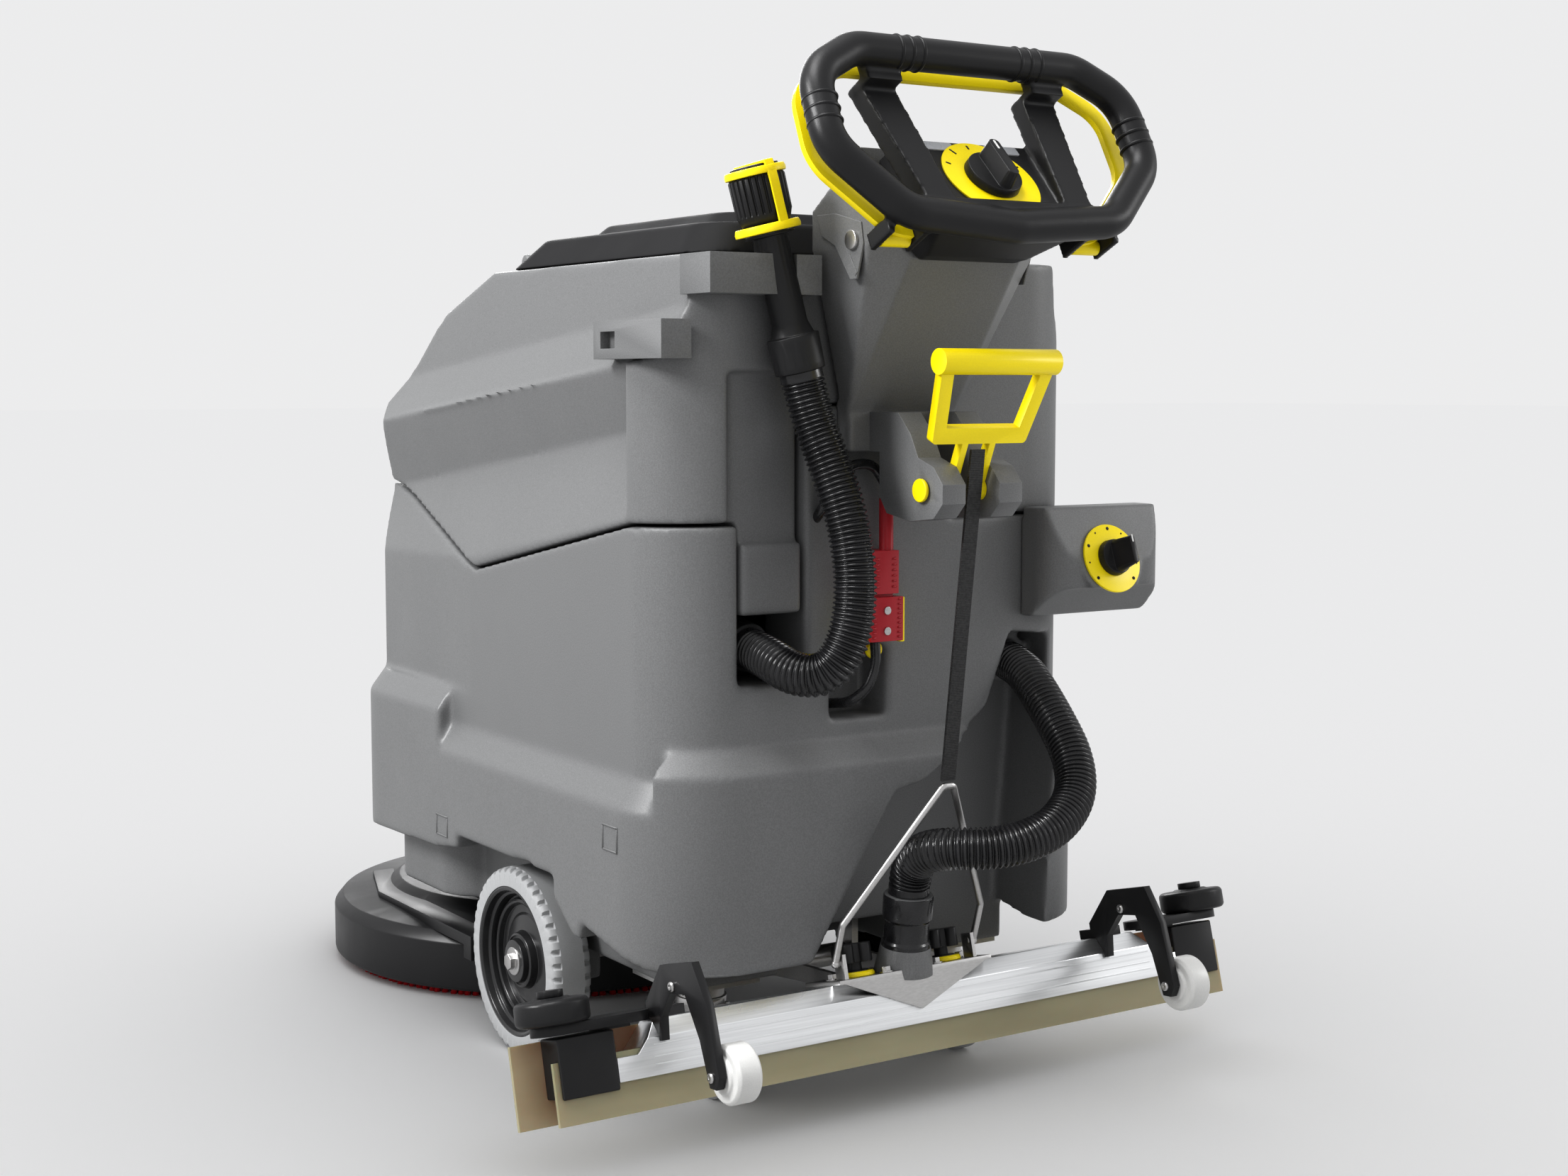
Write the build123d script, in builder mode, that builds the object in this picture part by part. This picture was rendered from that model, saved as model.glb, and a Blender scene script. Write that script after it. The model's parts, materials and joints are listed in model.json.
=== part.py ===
"""Walk-behind scrubber dryer: an assembly of separate pieces in one frame, in millimetres.

+Y is the way the machine drives, +X its right-hand side, +Z up. The origin is on the floor, below the
middle of the machine's bounding box. The machine stands as parked: brush deck down, squeegee lifted.
Everything is drawn about a datum midway between the deck's front and the squeegee's rollers. The handle
overhangs the rollers, so save() moves each finished piece forward by DATUM_Y.
"""

import os
from math import cos, pi, radians, sin

from build123d import *

os.makedirs("parts", exist_ok=True)

# ---------------------------------------------------------------- driving dimensions
LENGTH = 1170.0  # over the brush deck and the squeegee rollers
FRONT = LENGTH / 2
DATUM_Y = 17.5  # from the drawing's datum to the middle of the bounding box

BODY_HALF = 250.0  # body shell, half width
BODY_REAR, BODY_FRONT = -414.0, 318.0
BODY_TOP = 832.0
BODY_CORNER = 75.0
SEAM_GAP = 3.0  # open line between the two tanks

DECK_R = 280.0
DECK_Y = FRONT - DECK_R
DECK_RIM_TOP = 77.0
BRUSH_R = 255.0

WHEEL_R, WHEEL_W, WHEEL_Y = 100.0, 45.0, -89.0
WHEEL_OUT = 258.0  # outer face of the tyre from the middle plane
AXLE_R = 10.0
RUNNING = 0.05  # radial clearance of a running fit

CASTER_R, CASTER_W = 37.5, 24.0
CASTER_X, CASTER_Y, CASTER_TRAIL = 150.0, -300.0, 28.0
BELLY_BOTTOM = 118.0  # underside of the middle of the housing, which the casters bolt to

SQUEEGEE_HALF = 425.0
SQUEEGEE_SWING = 15.0  # degrees that the lifted squeegee swings down to reach the floor
PIVOT_Y, PIVOT_Z = -250.0, 100.0
ROLLER_R = 27.0

LEVER_X, LEVER_Y, LEVER_Z = 8.0, -520.0, 612.0
LEVER_REACH = 129.0  # from the lever's pivot to the middle of its grip

HANDLE_Y, HANDLE_Z = -566.0, 930.0  # middle of the handle loop
HANDLE_TILT = 64.0  # degrees of the handle's plane above the horizontal
RIB_TILT, PANEL_TILT = 53.0, 44.0  # the same for the ribs beside the panel, and for the panel
RIM_R = 15.5


def save(part, name):
    """Moves a finished piece to the row's frame, names it and writes its STEP file."""
    placed = part.moved(Location((0, DATUM_Y, 0)))
    placed.label = name
    export_step(placed, f"parts/{name}.step")


# ---------------------------------------------------------------- body shells
SIDE_PROFILE = [  # (y, z) of the body's outline seen from the side
    (BODY_REAR, 140), (BODY_REAR, BODY_TOP), (44, BODY_TOP), (170, 790),
    (258, 725), (300, 690), (BODY_FRONT, 640), (BODY_FRONT, 140),
]
SEAM = [(BODY_REAR - 60, 581), (-334, 577), (8, 512), (240, 580), (BODY_FRONT + 60, 612)]
# (x, z) of the cuts that shape a flank: at the rear end and at the front end of each cut
SHOULDER_REAR = [(212, 845), (220, 788), (232, 764), (241, 742), (252, 742), (320, 742), (320, 845)]
SHOULDER_FRONT = [(200, 845), (210, 712), (222, 688), (236, 664), (252, 664), (320, 664), (320, 845)]
WAIST_REAR = [(243, 733), (221, 668), (252, 574), (320, 574), (320, 733)]
WAIST_FRONT = [(238, 660), (214, 584), (252, 462), (320, 462), (320, 660)]
WAIST_START = -330.0


def side_solid(points, half_width):
    """A prism across the machine from an outline in the side view."""
    with BuildPart() as prism:
        with BuildSketch(Plane.YZ):
            with BuildLine():
                Polyline(*points, close=True)
            make_face()
        extrude(amount=half_width, both=True)
    return prism.part


def flank_cutter(rear_points, front_points, y_rear, y_front):
    """A ruled solid between two outlines in planes across the machine, for one flank."""
    with BuildPart() as cutter:
        for y, points in ((y_rear, rear_points), (y_front, front_points)):
            with BuildSketch(Plane((0, y, 0), x_dir=(1, 0, 0), z_dir=(0, -1, 0))):
                with BuildLine():
                    Polyline(*points, close=True)
                make_face()
        loft(ruled=True)
    return cutter.part


def body_blank():
    """The outer form that both tanks are parted from."""
    shoulder = flank_cutter(SHOULDER_REAR, SHOULDER_FRONT, BODY_REAR - 20, BODY_FRONT + 20)
    waist = flank_cutter(WAIST_REAR, WAIST_FRONT, WAIST_START, BODY_FRONT + 20)
    with BuildPart() as blank:
        with BuildSketch(Plane.XY.offset(140)):
            with Locations((0, (BODY_REAR + BODY_FRONT) / 2)):
                RectangleRounded(2 * BODY_HALF, BODY_FRONT - BODY_REAR, BODY_CORNER)
        extrude(amount=BODY_TOP - 140)
        add(side_solid(SIDE_PROFILE, 320), mode=Mode.INTERSECT)
        for cutter in (shoulder, waist):
            add(cutter, mode=Mode.SUBTRACT)
            add(mirror(cutter, Plane.YZ, mode=Mode.PRIVATE), mode=Mode.SUBTRACT)
    return blank.part


def seam_side(above):
    """The half of space above or below the seam, as a prism."""
    shift = SEAM_GAP / 2 if above else -SEAM_GAP / 2
    far = 900 if above else 90
    line = [(y, z + shift) for y, z in SEAM]
    return side_solid([(line[0][0], far), *line, (line[-1][0], far)], 400)


def box_between(low, high):
    """A box from its lowest to its highest corner."""
    with BuildPart() as block:
        with Locations([tuple((a + b) / 2 for a, b in zip(low, high))]):
            Box(*(b - a for a, b in zip(low, high)))
    return block.part


LID_W, LID_L, LID_Y = 404.0, 430.0, -181.0
LID_TOP = 878.0
LID_HINGE_Y, LID_HINGE_Z, LID_PIN_R = 50.0, 845.0, 4.0

COLUMN_LEFT, COLUMN_RIGHT, COLUMN_TOP, COLUMN_FRONT = -101.0, 72.0, 690.0, -366.0
NOTCH_LEFT, NOTCH_BOTTOM, NOTCH_DEPTH = -175.0, 425.0, 80.0
BELT_OUT = 18.0
# Each stretch of the belt: y from, y to, height where its chamfer starts, height of its top
BELT_STRETCHES = [(-470, -385, 342, 366), (-470, 400, 306, 333), (70, 400, 350, 374)]
BELT_BOTTOM = [  # (y, z) of the shell's lower edge in the side view, wheel arch included
    (360, 186), (84, 194), (-25, 210), (-150, 220), (-185, 208), (-246, 163),
    (-262, 163), (-266, 178), (-400, 152), (-460, 150),
]
RECESS = [  # (x, z) of the hollow below the handle where the squeegee hangs
    (154, 458), (211, 452), (207, 385), (200, 300), (190, 200), (186, 90),
    (-140, 90), (-106, 145), (-3, 311), (33, 318), (75, 345), (124, 383),
]
RECESS_BACK = -345.0
APRON_BOTTOM, APRON_TOP = 124.0, 140.0
DOME_R, DOME_TOP_R, DOME_EDGE, DOME_TOP = 92.0, 58.0, 306.0, 342.0  # cover over the brush motor
FLAT = (Align.CENTER, Align.CENTER, Align.MIN)

HOSE_R = 20.0
HOSE_SUCTION = [  # route of the suction hose, from the shell to the squeegee's spigot
    (182, -368, 424), (180, -398, 418), (173, -430, 402), (168, -466, 374), (165, -500, 340),
    (150, -524, 308), (118, -538, 285), (80, -541, 272), (42, -530, 266), (6, -506, 266),
    (-3, -474, 258), (0, -450.3, 235.7), (0, -448.1, 211.7),
]
HOSE_DRAIN = [  # route of the drain hose, from the tank's outlet to its cuff
    (-146, -384, 458), (-145, -420, 452), (-138, -454, 438), (-116, -480, 440), (-97, -488, 476),
    (-90, -486, 530), (-94, -476, 586), (-104, -460, 638), (-115, -444.8, 683), (-124, -442, 722),
]


def cone_along(start, ahead, r_start, r_end, s_from, s_to):
    """A round solid on the line from start towards ahead, between two distances from start."""
    line = (Vector(*ahead) - Vector(*start)).normalized()
    with BuildPart() as cone:
        with BuildSketch(Plane(Vector(*start) + line * s_from, z_dir=line)):
            Circle(r_start)
        with BuildSketch(Plane(Vector(*start) + line * s_to, z_dir=line)):
            Circle(r_end)
        loft(ruled=True)
    return cone.part


def belt_layer(z, out):
    """The belt's outline in plan, a given distance outside the shell."""
    with BuildSketch(Plane.XY.offset(z)) as layer:
        with Locations((0, (BODY_REAR + BODY_FRONT) / 2)):
            RectangleRounded(
                2 * (BODY_HALF + out), BODY_FRONT - BODY_REAR + 2 * out, BODY_CORNER + out
            )
    return layer.sketch


def belt_ring(z_edge, z_top):
    """The belt as a whole ring: upright up to z_edge, then sloping in to the shell at z_top."""
    with BuildPart() as ring:
        add(belt_layer(APRON_TOP, BELT_OUT))
        extrude(amount=z_edge - APRON_TOP)
        add(belt_layer(z_edge, BELT_OUT))
        add(belt_layer(z_top, 1))
        loft()
    return ring.part


def belt():
    """The bumper belt round the foot of the shell, higher at the front and rear corners."""
    with BuildPart() as whole:
        for y_from, y_to, z_edge, z_top in BELT_STRETCHES:
            add(belt_ring(z_edge, z_top) & box_between((-400, y_from, 100), (400, y_to, 500)))
    return whole.part


def lower_housing():
    """Fresh-water tank and chassis in one shell, open at the top for the batteries."""
    blank = body_blank()
    lower = seam_side(above=False)
    under = [*BELT_BOTTOM, (-460, 60), (360, 60)]
    with BuildPart() as housing:
        add(blank)
        add(lower, mode=Mode.INTERSECT)
        add(belt())
        add(side_solid(under, 400), mode=Mode.SUBTRACT)
        # inner belly, which carries the axle and stands between the wheels
        add(box_between((-200, RECESS_BACK, BELLY_BOTTOM), (200, 130, 240)))
        for x in (-185, 185):
            add(box_between((x - 15, WHEEL_Y - 40, WHEEL_R - 22), (x + 15, WHEEL_Y + 40, 130)))
        # rear column below the handle
        add(box_between((COLUMN_LEFT, BODY_REAR, 560), (COLUMN_RIGHT, COLUMN_FRONT, COLUMN_TOP)))
        # rounded apron over the brush deck
        with BuildSketch(Plane.XY.offset(APRON_BOTTOM)):
            with Locations((0, 195)):
                RectangleRounded(464, 210, 60)
        extrude(amount=84)
        # domed cover over the brush motor, at the front
        with Locations((0, DECK_Y, APRON_BOTTOM)):
            Cylinder(DOME_R, DOME_EDGE - APRON_BOTTOM, align=FLAT)
        with Locations((0, DECK_Y, DOME_EDGE)):
            Cone(DOME_R, DOME_TOP_R, DOME_TOP - DOME_EDGE, align=FLAT)
        # inside: battery bay, wide below and narrower between the waists
        for bottom, half, front in ((222, 232, 222), (440, 206, 222), (300, 200, 298)):
            back = 232 if front > 230 else -337
            with BuildSketch(Plane.XY.offset(bottom)):
                with Locations((0, (front + back) / 2)):
                    RectangleRounded(2 * half, front - back, 24)
            extrude(amount=660 - bottom if half < 230 else 440 - bottom, mode=Mode.SUBTRACT)
        # hollow at the rear for the squeegee and its hose
        with BuildSketch(Plane((0, BODY_REAR - 60, 0), x_dir=(1, 0, 0), z_dir=(0, -1, 0))):
            with BuildLine():
                Polyline(*RECESS, close=True)
            make_face()
        extrude(amount=-(RECESS_BACK - BODY_REAR + 60), mode=Mode.SUBTRACT)
        # notch for the drain hose, and pocket for the battery lead
        notch_front = BODY_REAR + NOTCH_DEPTH
        notch = box_between((NOTCH_LEFT, BODY_REAR - 40, NOTCH_BOTTOM), (COLUMN_LEFT + 2, notch_front, 700))
        add(notch, mode=Mode.SUBTRACT)
        add(box_between((-70, BODY_REAR - 40, 386), (-3, BODY_REAR + 45, 455)), mode=Mode.SUBTRACT)
        # room above the brush deck and its motor
        with Locations((0, DECK_Y, 0)):
            Cylinder(75, 292, align=FLAT, mode=Mode.SUBTRACT)
            Cylinder(222, 152, align=FLAT, mode=Mode.SUBTRACT)
        # pocket that the squeegee's arm swings in
        add(box_between((-85, RECESS_BACK - 5, 90), (85, PIVOT_Y + 24, 162)), mode=Mode.SUBTRACT)
        # front of each flank, drawn in a little ahead of the seam's lowest point
        for side in (-1, 1):
            with BuildSketch(Plane.XY.offset(374.5)):
                with BuildLine():
                    flank = [(250.5, 8), (236, 330), (300, 330), (300, 8)]
                    Polyline(*((side * x, y) for x, y in flank), close=True)
                make_face()
            extrude(amount=300, mode=Mode.SUBTRACT)
        # wheel wells and caster wells
        for side in (-1, 1):
            inner, outer = sorted((side * 204, side * 320))
            add(box_between((inner, -205, 60), (outer, 26, 216)), mode=Mode.SUBTRACT)
        # bore for the axle
        with Locations(Plane((0, WHEEL_Y, WHEEL_R), z_dir=(1, 0, 0))):
            Cylinder(AXLE_R, 500, mode=Mode.SUBTRACT)
        # collar where the suction hose leaves the shell
        add(cone_along(HOSE_SUCTION[0], HOSE_SUCTION[1], 27, 27, -16, 0))
        add(cone_along(HOSE_SUCTION[0], HOSE_SUCTION[1], 18, 18, -60, 0), mode=Mode.SUBTRACT)
    return housing.part


def recovery_tank():
    """Dirty-water tank, with the lid opening on top and the lobe that closes the hose notch."""
    blank = body_blank()
    with BuildPart() as tank:
        add(blank)
        add(seam_side(above=True), mode=Mode.INTERSECT)
        add(
            box_between(
                (NOTCH_LEFT + 3, BODY_REAR, 492), (COLUMN_LEFT - 2, BODY_REAR + NOTCH_DEPTH - 3, 620)
            )
        )
        # clearance round the housing's column
        add(
            box_between(
                (COLUMN_LEFT - 2, BODY_REAR - 10, 400), (COLUMN_RIGHT + 2, COLUMN_FRONT + 2, COLUMN_TOP + 2)
            ),
            mode=Mode.SUBTRACT,
        )
        # inside
        inside = [
            (-342, 600), (-342, 824), (42, 824), (162, 782), (248, 717), (286, 684), (304, 636), (304, 600),
        ]
        add(side_solid(inside, 198), mode=Mode.SUBTRACT)
        # lid opening
        with BuildSketch(Plane.XY.offset(800)):
            with Locations((0, LID_Y)):
                RectangleRounded(LID_W - 80, LID_L - 70, 40)
        extrude(amount=60, mode=Mode.SUBTRACT)
        # hose channel in the rear wall
        channel = box_between((-185, BODY_REAR - 5, 560), (COLUMN_LEFT - 2, BODY_REAR + 10, 722))
        add(channel, mode=Mode.SUBTRACT)
        # lid hinge: two eyes with their pins
        for side in (-1, 1):
            for x in (side * 120, side * 160):
                add(box_between((x - 5, LID_HINGE_Y - 9, 815), (x + 5, LID_HINGE_Y + 9, LID_HINGE_Z)))
                with Locations(Plane((x, LID_HINGE_Y, LID_HINGE_Z), z_dir=(1, 0, 0))):
                    Cylinder(9, 10)
            with Locations(Plane((side * 140, LID_HINGE_Y, LID_HINGE_Z), z_dir=(1, 0, 0))):
                Cylinder(LID_PIN_R, 44)
    return tank.part


def tank_lid():
    """Black cover over the recovery tank: a raised tray with a chamfered front and a dome."""
    z0 = BODY_TOP + 1.5
    with BuildPart() as lid:
        with BuildSketch(Plane.XY.offset(z0)):
            with Locations((0, LID_Y)):
                RectangleRounded(LID_W, LID_L, 45)
        with BuildSketch(Plane.XY.offset(z0 + 30)):
            with Locations((0, LID_Y - 14)):
                RectangleRounded(LID_W - 40, LID_L - 50, 45)
        loft()
        with BuildSketch(Plane.XY.offset(z0 + 30)):
            with Locations((0, LID_Y - 14)):
                RectangleRounded(LID_W - 110, LID_L - 130, 40)
        with BuildSketch(Plane.XY.offset(LID_TOP)):
            with Locations((0, LID_Y - 14)):
                RectangleRounded(LID_W - 140, LID_L - 160, 34)
        loft()
        with BuildSketch(Plane.XY.offset(z0)):
            with Locations((0, LID_Y)):
                RectangleRounded(LID_W - 60, LID_L - 60, 30)
        extrude(amount=24, mode=Mode.SUBTRACT)
        # hinge knuckles
        for side in (-1, 1):
            with Locations(Plane((side * 140, LID_HINGE_Y, LID_HINGE_Z), z_dir=(1, 0, 0))):
                Cylinder(8, 28)
            add(box_between((side * 140 - 14, 18, 838), (side * 140 + 14, LID_HINGE_Y, 851)))
            with Locations(Plane((side * 140, LID_HINGE_Y, LID_HINGE_Z), z_dir=(1, 0, 0))):
                Cylinder(LID_PIN_R + RUNNING, 40, mode=Mode.SUBTRACT)
    return lid.part


def lid_gasket():
    """Rubber ring under the lid."""
    with BuildPart() as ring:
        with BuildSketch(Plane.XY.offset(BODY_TOP)):
            with Locations((0, LID_Y)):
                RectangleRounded(LID_W - 24, LID_L - 24, 34)
                RectangleRounded(LID_W - 56, LID_L - 56, 28, mode=Mode.SUBTRACT)
        extrude(amount=1.5)
    return ring.part


# ---------------------------------------------------------------- drive wheels
def wheel_plane(side):
    """A plane in the middle of a drive wheel, its normal pointing outwards."""
    return Plane((side * (WHEEL_OUT - WHEEL_W / 2), WHEEL_Y, WHEEL_R), x_dir=(0, 1, 0), z_dir=(side, 0, 0))


def revolve_on(plane, outline):
    """A turned solid: outline holds (radius, height) pairs, and turns round the plane's normal."""
    section = Plane(plane.origin, x_dir=plane.x_dir, z_dir=-plane.y_dir)
    with BuildPart() as turned:
        with BuildSketch(section):
            with BuildLine():
                Polyline(*outline, close=True)
            make_face()
        revolve(axis=Axis(plane.origin, plane.z_dir))
    return turned.part


TYRE_IN = 80.0
HUB_R = 24.0


def tyre(side):
    """Tyre with a chamfered tread."""
    half = WHEEL_W / 2
    return revolve_on(wheel_plane(side), [
        (TYRE_IN, -half), (WHEEL_R - 5, -half), (WHEEL_R, 4 - half), (WHEEL_R, half - 4),
        (WHEEL_R - 5, half), (TYRE_IN, half),
    ])


def rim(side):
    """Dished rim with its hub."""
    bore = AXLE_R + RUNNING
    return revolve_on(wheel_plane(side), [
        (bore, -20), (HUB_R, -20), (HUB_R, -6), (64, 0), (64, -20), (TYRE_IN, -20), (TYRE_IN, 20),
        (72, 20), (70, 8), (HUB_R + 4, 3), (HUB_R, 18), (bore, 18),
    ])


for name, side in (("left", -1), ("right", 1)):
    save(tyre(side), f"{name}_tyre")
    save(rim(side), f"{name}_rim")

AXLE_END = WHEEL_OUT - WHEEL_W / 2 + 18.3
with BuildPart() as axle:
    with Locations(Plane((0, WHEEL_Y, WHEEL_R), z_dir=(1, 0, 0))):
        Cylinder(AXLE_R, 2 * AXLE_END)
save(axle.part, "axle")

# ---------------------------------------------------------------- casters
FORK_TOP = 99.0
with BuildPart() as caster_mounts:
    for x in (-CASTER_X, CASTER_X):
        add(box_between((x - 45, CASTER_Y - 40, BELLY_BOTTOM - 5), (x + 45, CASTER_Y + 60, BELLY_BOTTOM)))
        with Locations((x, CASTER_Y, FORK_TOP + 0.5)):
            Cylinder(24, BELLY_BOTTOM - FORK_TOP - 3, align=FLAT)
        with Locations((x, CASTER_Y, 86)):
            Cylinder(8, 24, align=FLAT)
            Cylinder(11, 5, align=FLAT)
save(caster_mounts.part, "caster_mounts")


def caster_fork(x):
    """Swivelling fork with its wheel's axle."""
    axle_y = CASTER_Y - CASTER_TRAIL
    with BuildPart() as fork:
        with Locations((x, CASTER_Y, FORK_TOP - 6)):
            Cylinder(26, 6, align=FLAT)
        for side in (-1, 1):
            leg = x + side * 17
            with BuildSketch(Plane.YZ.offset(leg - 2)):
                with BuildLine():
                    Polyline(
                        (CASTER_Y + 18, FORK_TOP - 6), (CASTER_Y + 18, 80), (axle_y + 9, CASTER_R - 5),
                        (axle_y - 9, CASTER_R - 5), (axle_y - 11, CASTER_R + 8),
                        (CASTER_Y - 24, FORK_TOP - 6), close=True,
                    )
                make_face()
            extrude(amount=4)
        with Locations(Plane((x, axle_y, CASTER_R), z_dir=(1, 0, 0))):
            Cylinder(5, 42)
        with Locations((x, CASTER_Y, 60)):
            Cylinder(8 + RUNNING, 60, align=FLAT, mode=Mode.SUBTRACT)
    return fork.part


def caster_wheel(x):
    """Solid grey wheel with a bore."""
    plane = Plane((x, CASTER_Y - CASTER_TRAIL, CASTER_R), x_dir=(0, 1, 0), z_dir=(1, 0, 0))
    half, bore = CASTER_W / 2, 5 + RUNNING
    return revolve_on(plane, [
        (bore, -half), (14, -half), (17, 3 - half), (29, 3 - half), (31, -half), (CASTER_R - 3, -half),
        (CASTER_R, 3 - half), (CASTER_R, half - 3), (CASTER_R - 3, half), (31, half), (29, half - 3),
        (17, half - 3), (14, half), (bore, half),
    ])


for name, x in (("left", -CASTER_X), ("right", CASTER_X)):
    save(caster_fork(x), f"{name}_caster_fork")
    save(caster_wheel(x), f"{name}_caster_wheel")

# ---------------------------------------------------------------- brush deck
DECK = Plane((0, DECK_Y, 0))
SHAFT_R = 12.0
DECK_CROWN = [(DECK_R - 10, DECK_RIM_TOP), (215, 86), (200, 98), (120, 106), (62, 112)]
save(revolve_on(DECK, [
    (DECK_R - 3, 9), (DECK_R, 12), (DECK_R, DECK_RIM_TOP - 12), *DECK_CROWN, (SHAFT_R + 1, 112),
    (SHAFT_R + 1, 104), (114, 98), (196, 90), (208, 80), (DECK_R - 14, DECK_RIM_TOP - 7),
    (DECK_R - 6, DECK_RIM_TOP - 13), (DECK_R - 6, 9),
]), "brush_deck")
save(revolve_on(DECK, [
    (0, 112), (60, 112), (60, 205), (52, 215), (52, 250), (44, 256), (0, 256),
]), "brush_motor")
save(revolve_on(DECK, [
    (SHAFT_R, 58), (SHAFT_R, 111.5), (0, 111.5), (0, 46), (BRUSH_R, 46), (BRUSH_R, 54), (246, 58),
]), "brush_disc")
save(revolve_on(DECK, [(95, 0), (BRUSH_R - 1, 0), (BRUSH_R - 5, 46), (95, 46)]), "brush_bristles")

ARM_IN, ARM_OUT = 204.0, 234.0
with BuildPart() as deck_arms:
    for side in (-1, 1):
        with BuildSketch(Plane.XY.offset(DECK_RIM_TOP)):
            with BuildLine():
                Polyline(
                    (side * ARM_IN, 64), (side * ARM_OUT, 64), (side * ARM_OUT, 330), (side * 196, 440),
                    (side * 168, 440), (side * ARM_IN, 322), close=True,
                )
            make_face()
        extrude(amount=13)
        add(box_between(
            (min(side * ARM_IN, side * ARM_OUT), 64, 62), (max(side * ARM_IN, side * ARM_OUT), 84, 90)
        ))
    add(revolve_on(DECK, [(0, DECK_RIM_TOP - 2), *DECK_CROWN, (0, 112)]), mode=Mode.SUBTRACT)
save(deck_arms.part, "deck_arms")

# ---------------------------------------------------------------- neck, handle and its controls
LEVER_LUGS = ((-39.0, -12.0), (28.0, 55.0))  # x range of each lug
TAIL_BACK, TAIL_LOW, TAIL_TOP = -434.0, 646.0, 684.0
NECK_FRONT = BODY_REAR - 7
NECK_BACK, NECK_BACK_Z = -533.0, 825.0  # top of the neck's sloping rear face
NECK_SIDE = [  # (y, z) of the neck seen from the side
    (BODY_REAR, TAIL_TOP), (BODY_REAR, 690), (NECK_FRONT, 700), (NECK_FRONT, 872), (-500, 926),
    (NECK_BACK, NECK_BACK_Z), (TAIL_BACK, TAIL_TOP),
]
NECK_FACE = [(-64, TAIL_TOP), (-98, 836), (-98, 930), (98, 930), (98, 836), (72, TAIL_TOP)]
RIDGE_X = 62.0  # where the rear face turns into the corner facets
FACET_DEPTH, FACET_WIDTH = 43.4, 68.0
SCREW_Y, SCREW_Z = -492.0, 842.0


def prism_along_y(outline, y_back, y_front):
    """A prism from an outline (x, z) seen from behind."""
    with BuildPart() as prism:
        with BuildSketch(Plane((0, y_back, 0), x_dir=(1, 0, 0), z_dir=(0, -1, 0))):
            with BuildLine():
                Polyline(*outline, close=True)
            make_face()
        extrude(amount=-(y_front - y_back))
    return prism.part


with BuildPart() as handle_neck:
    with BuildSketch(Plane.XY.offset(TAIL_LOW)):
        with Locations((4, (TAIL_BACK + BODY_REAR) / 2)):
            Rectangle(136, BODY_REAR - TAIL_BACK)
    extrude(amount=TAIL_TOP - TAIL_LOW)
    add(side_solid(NECK_SIDE, 99) & prism_along_y(NECK_FACE, -600, -300))
    # facets between the rear face and the sides
    slope = Vector(0, NECK_BACK - TAIL_BACK, NECK_BACK_Z - TAIL_TOP).normalized()
    across = Plane((0, NECK_BACK, NECK_BACK_Z), x_dir=(1, 0, 0), z_dir=slope)
    with BuildSketch(across.offset(-260)):
        for side in (-1, 1):
            with BuildLine():
                Polyline(
                    (side * RIDGE_X, 0), (side * (RIDGE_X + FACET_WIDTH), FACET_DEPTH),
                    (side * (RIDGE_X + FACET_WIDTH), -40), (side * RIDGE_X, -40), close=True,
                )
            make_face()
    extrude(amount=360, mode=Mode.SUBTRACT)
    # bore for the clamping screw
    with Locations(Plane((0, SCREW_Y, SCREW_Z), z_dir=(1, 0, 0))):
        Cylinder(4, 200, mode=Mode.SUBTRACT)
save(handle_neck.part, "handle_neck")


def tilted(origin, tilt):
    """A plane across the machine that faces the operator, tilt degrees above the horizontal."""
    return Plane(origin, x_dir=(1, 0, 0), z_dir=(0, -sin(radians(tilt)), cos(radians(tilt))))


HANDLE = tilted((0, HANDLE_Y, HANDLE_Z), HANDLE_TILT)


def handle_point(x, v, n):
    """A point given in the handle's plane, n standing out of it towards the operator."""
    return HANDLE.from_local_coords(Vector(x, v, n))


RIBS = tilted(handle_point(0, -45, 1), RIB_TILT)
PANEL = tilted(handle_point(0, -32, -14), PANEL_TILT)
RIM_OUTLINE = [  # corners of the rim's outer edge in the handle's plane, right half
    (125, -93), (197, -22), (192, 66), (131, 102),
]
RIM_FOOT = (0.0, -104.0)
RIM_FILLET = 58.0
RIB_TOP, RIB_FOOT = (75.0, 113.0), (62.0, 93.0)  # inner and outer x of a rib at its two ends
RIB_LOW, RIB_HIGH = -30.0, 118.0
PANEL_LOW, PANEL_HIGH, PANEL_HALF, PANEL_THICK = -44.0, 53.0, 80.0, 14.0
BAIL_PIN_X, BAIL_PIN_V, BAIL_PIN_N = 110.0, -84.0, -38.0


def rim_sketch(inset):
    """The rim's outline, moved inwards, flat on the ground plane."""
    corners = [RIM_FOOT, *RIM_OUTLINE, *((-x, v) for x, v in reversed(RIM_OUTLINE))]
    with BuildSketch() as outline:
        with BuildLine():
            Polyline(*corners, close=True)
        make_face()
        fillet(outline.vertices(), RIM_FILLET)
        offset(amount=-inset, kind=Kind.ARC)
    return outline.sketch


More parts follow.
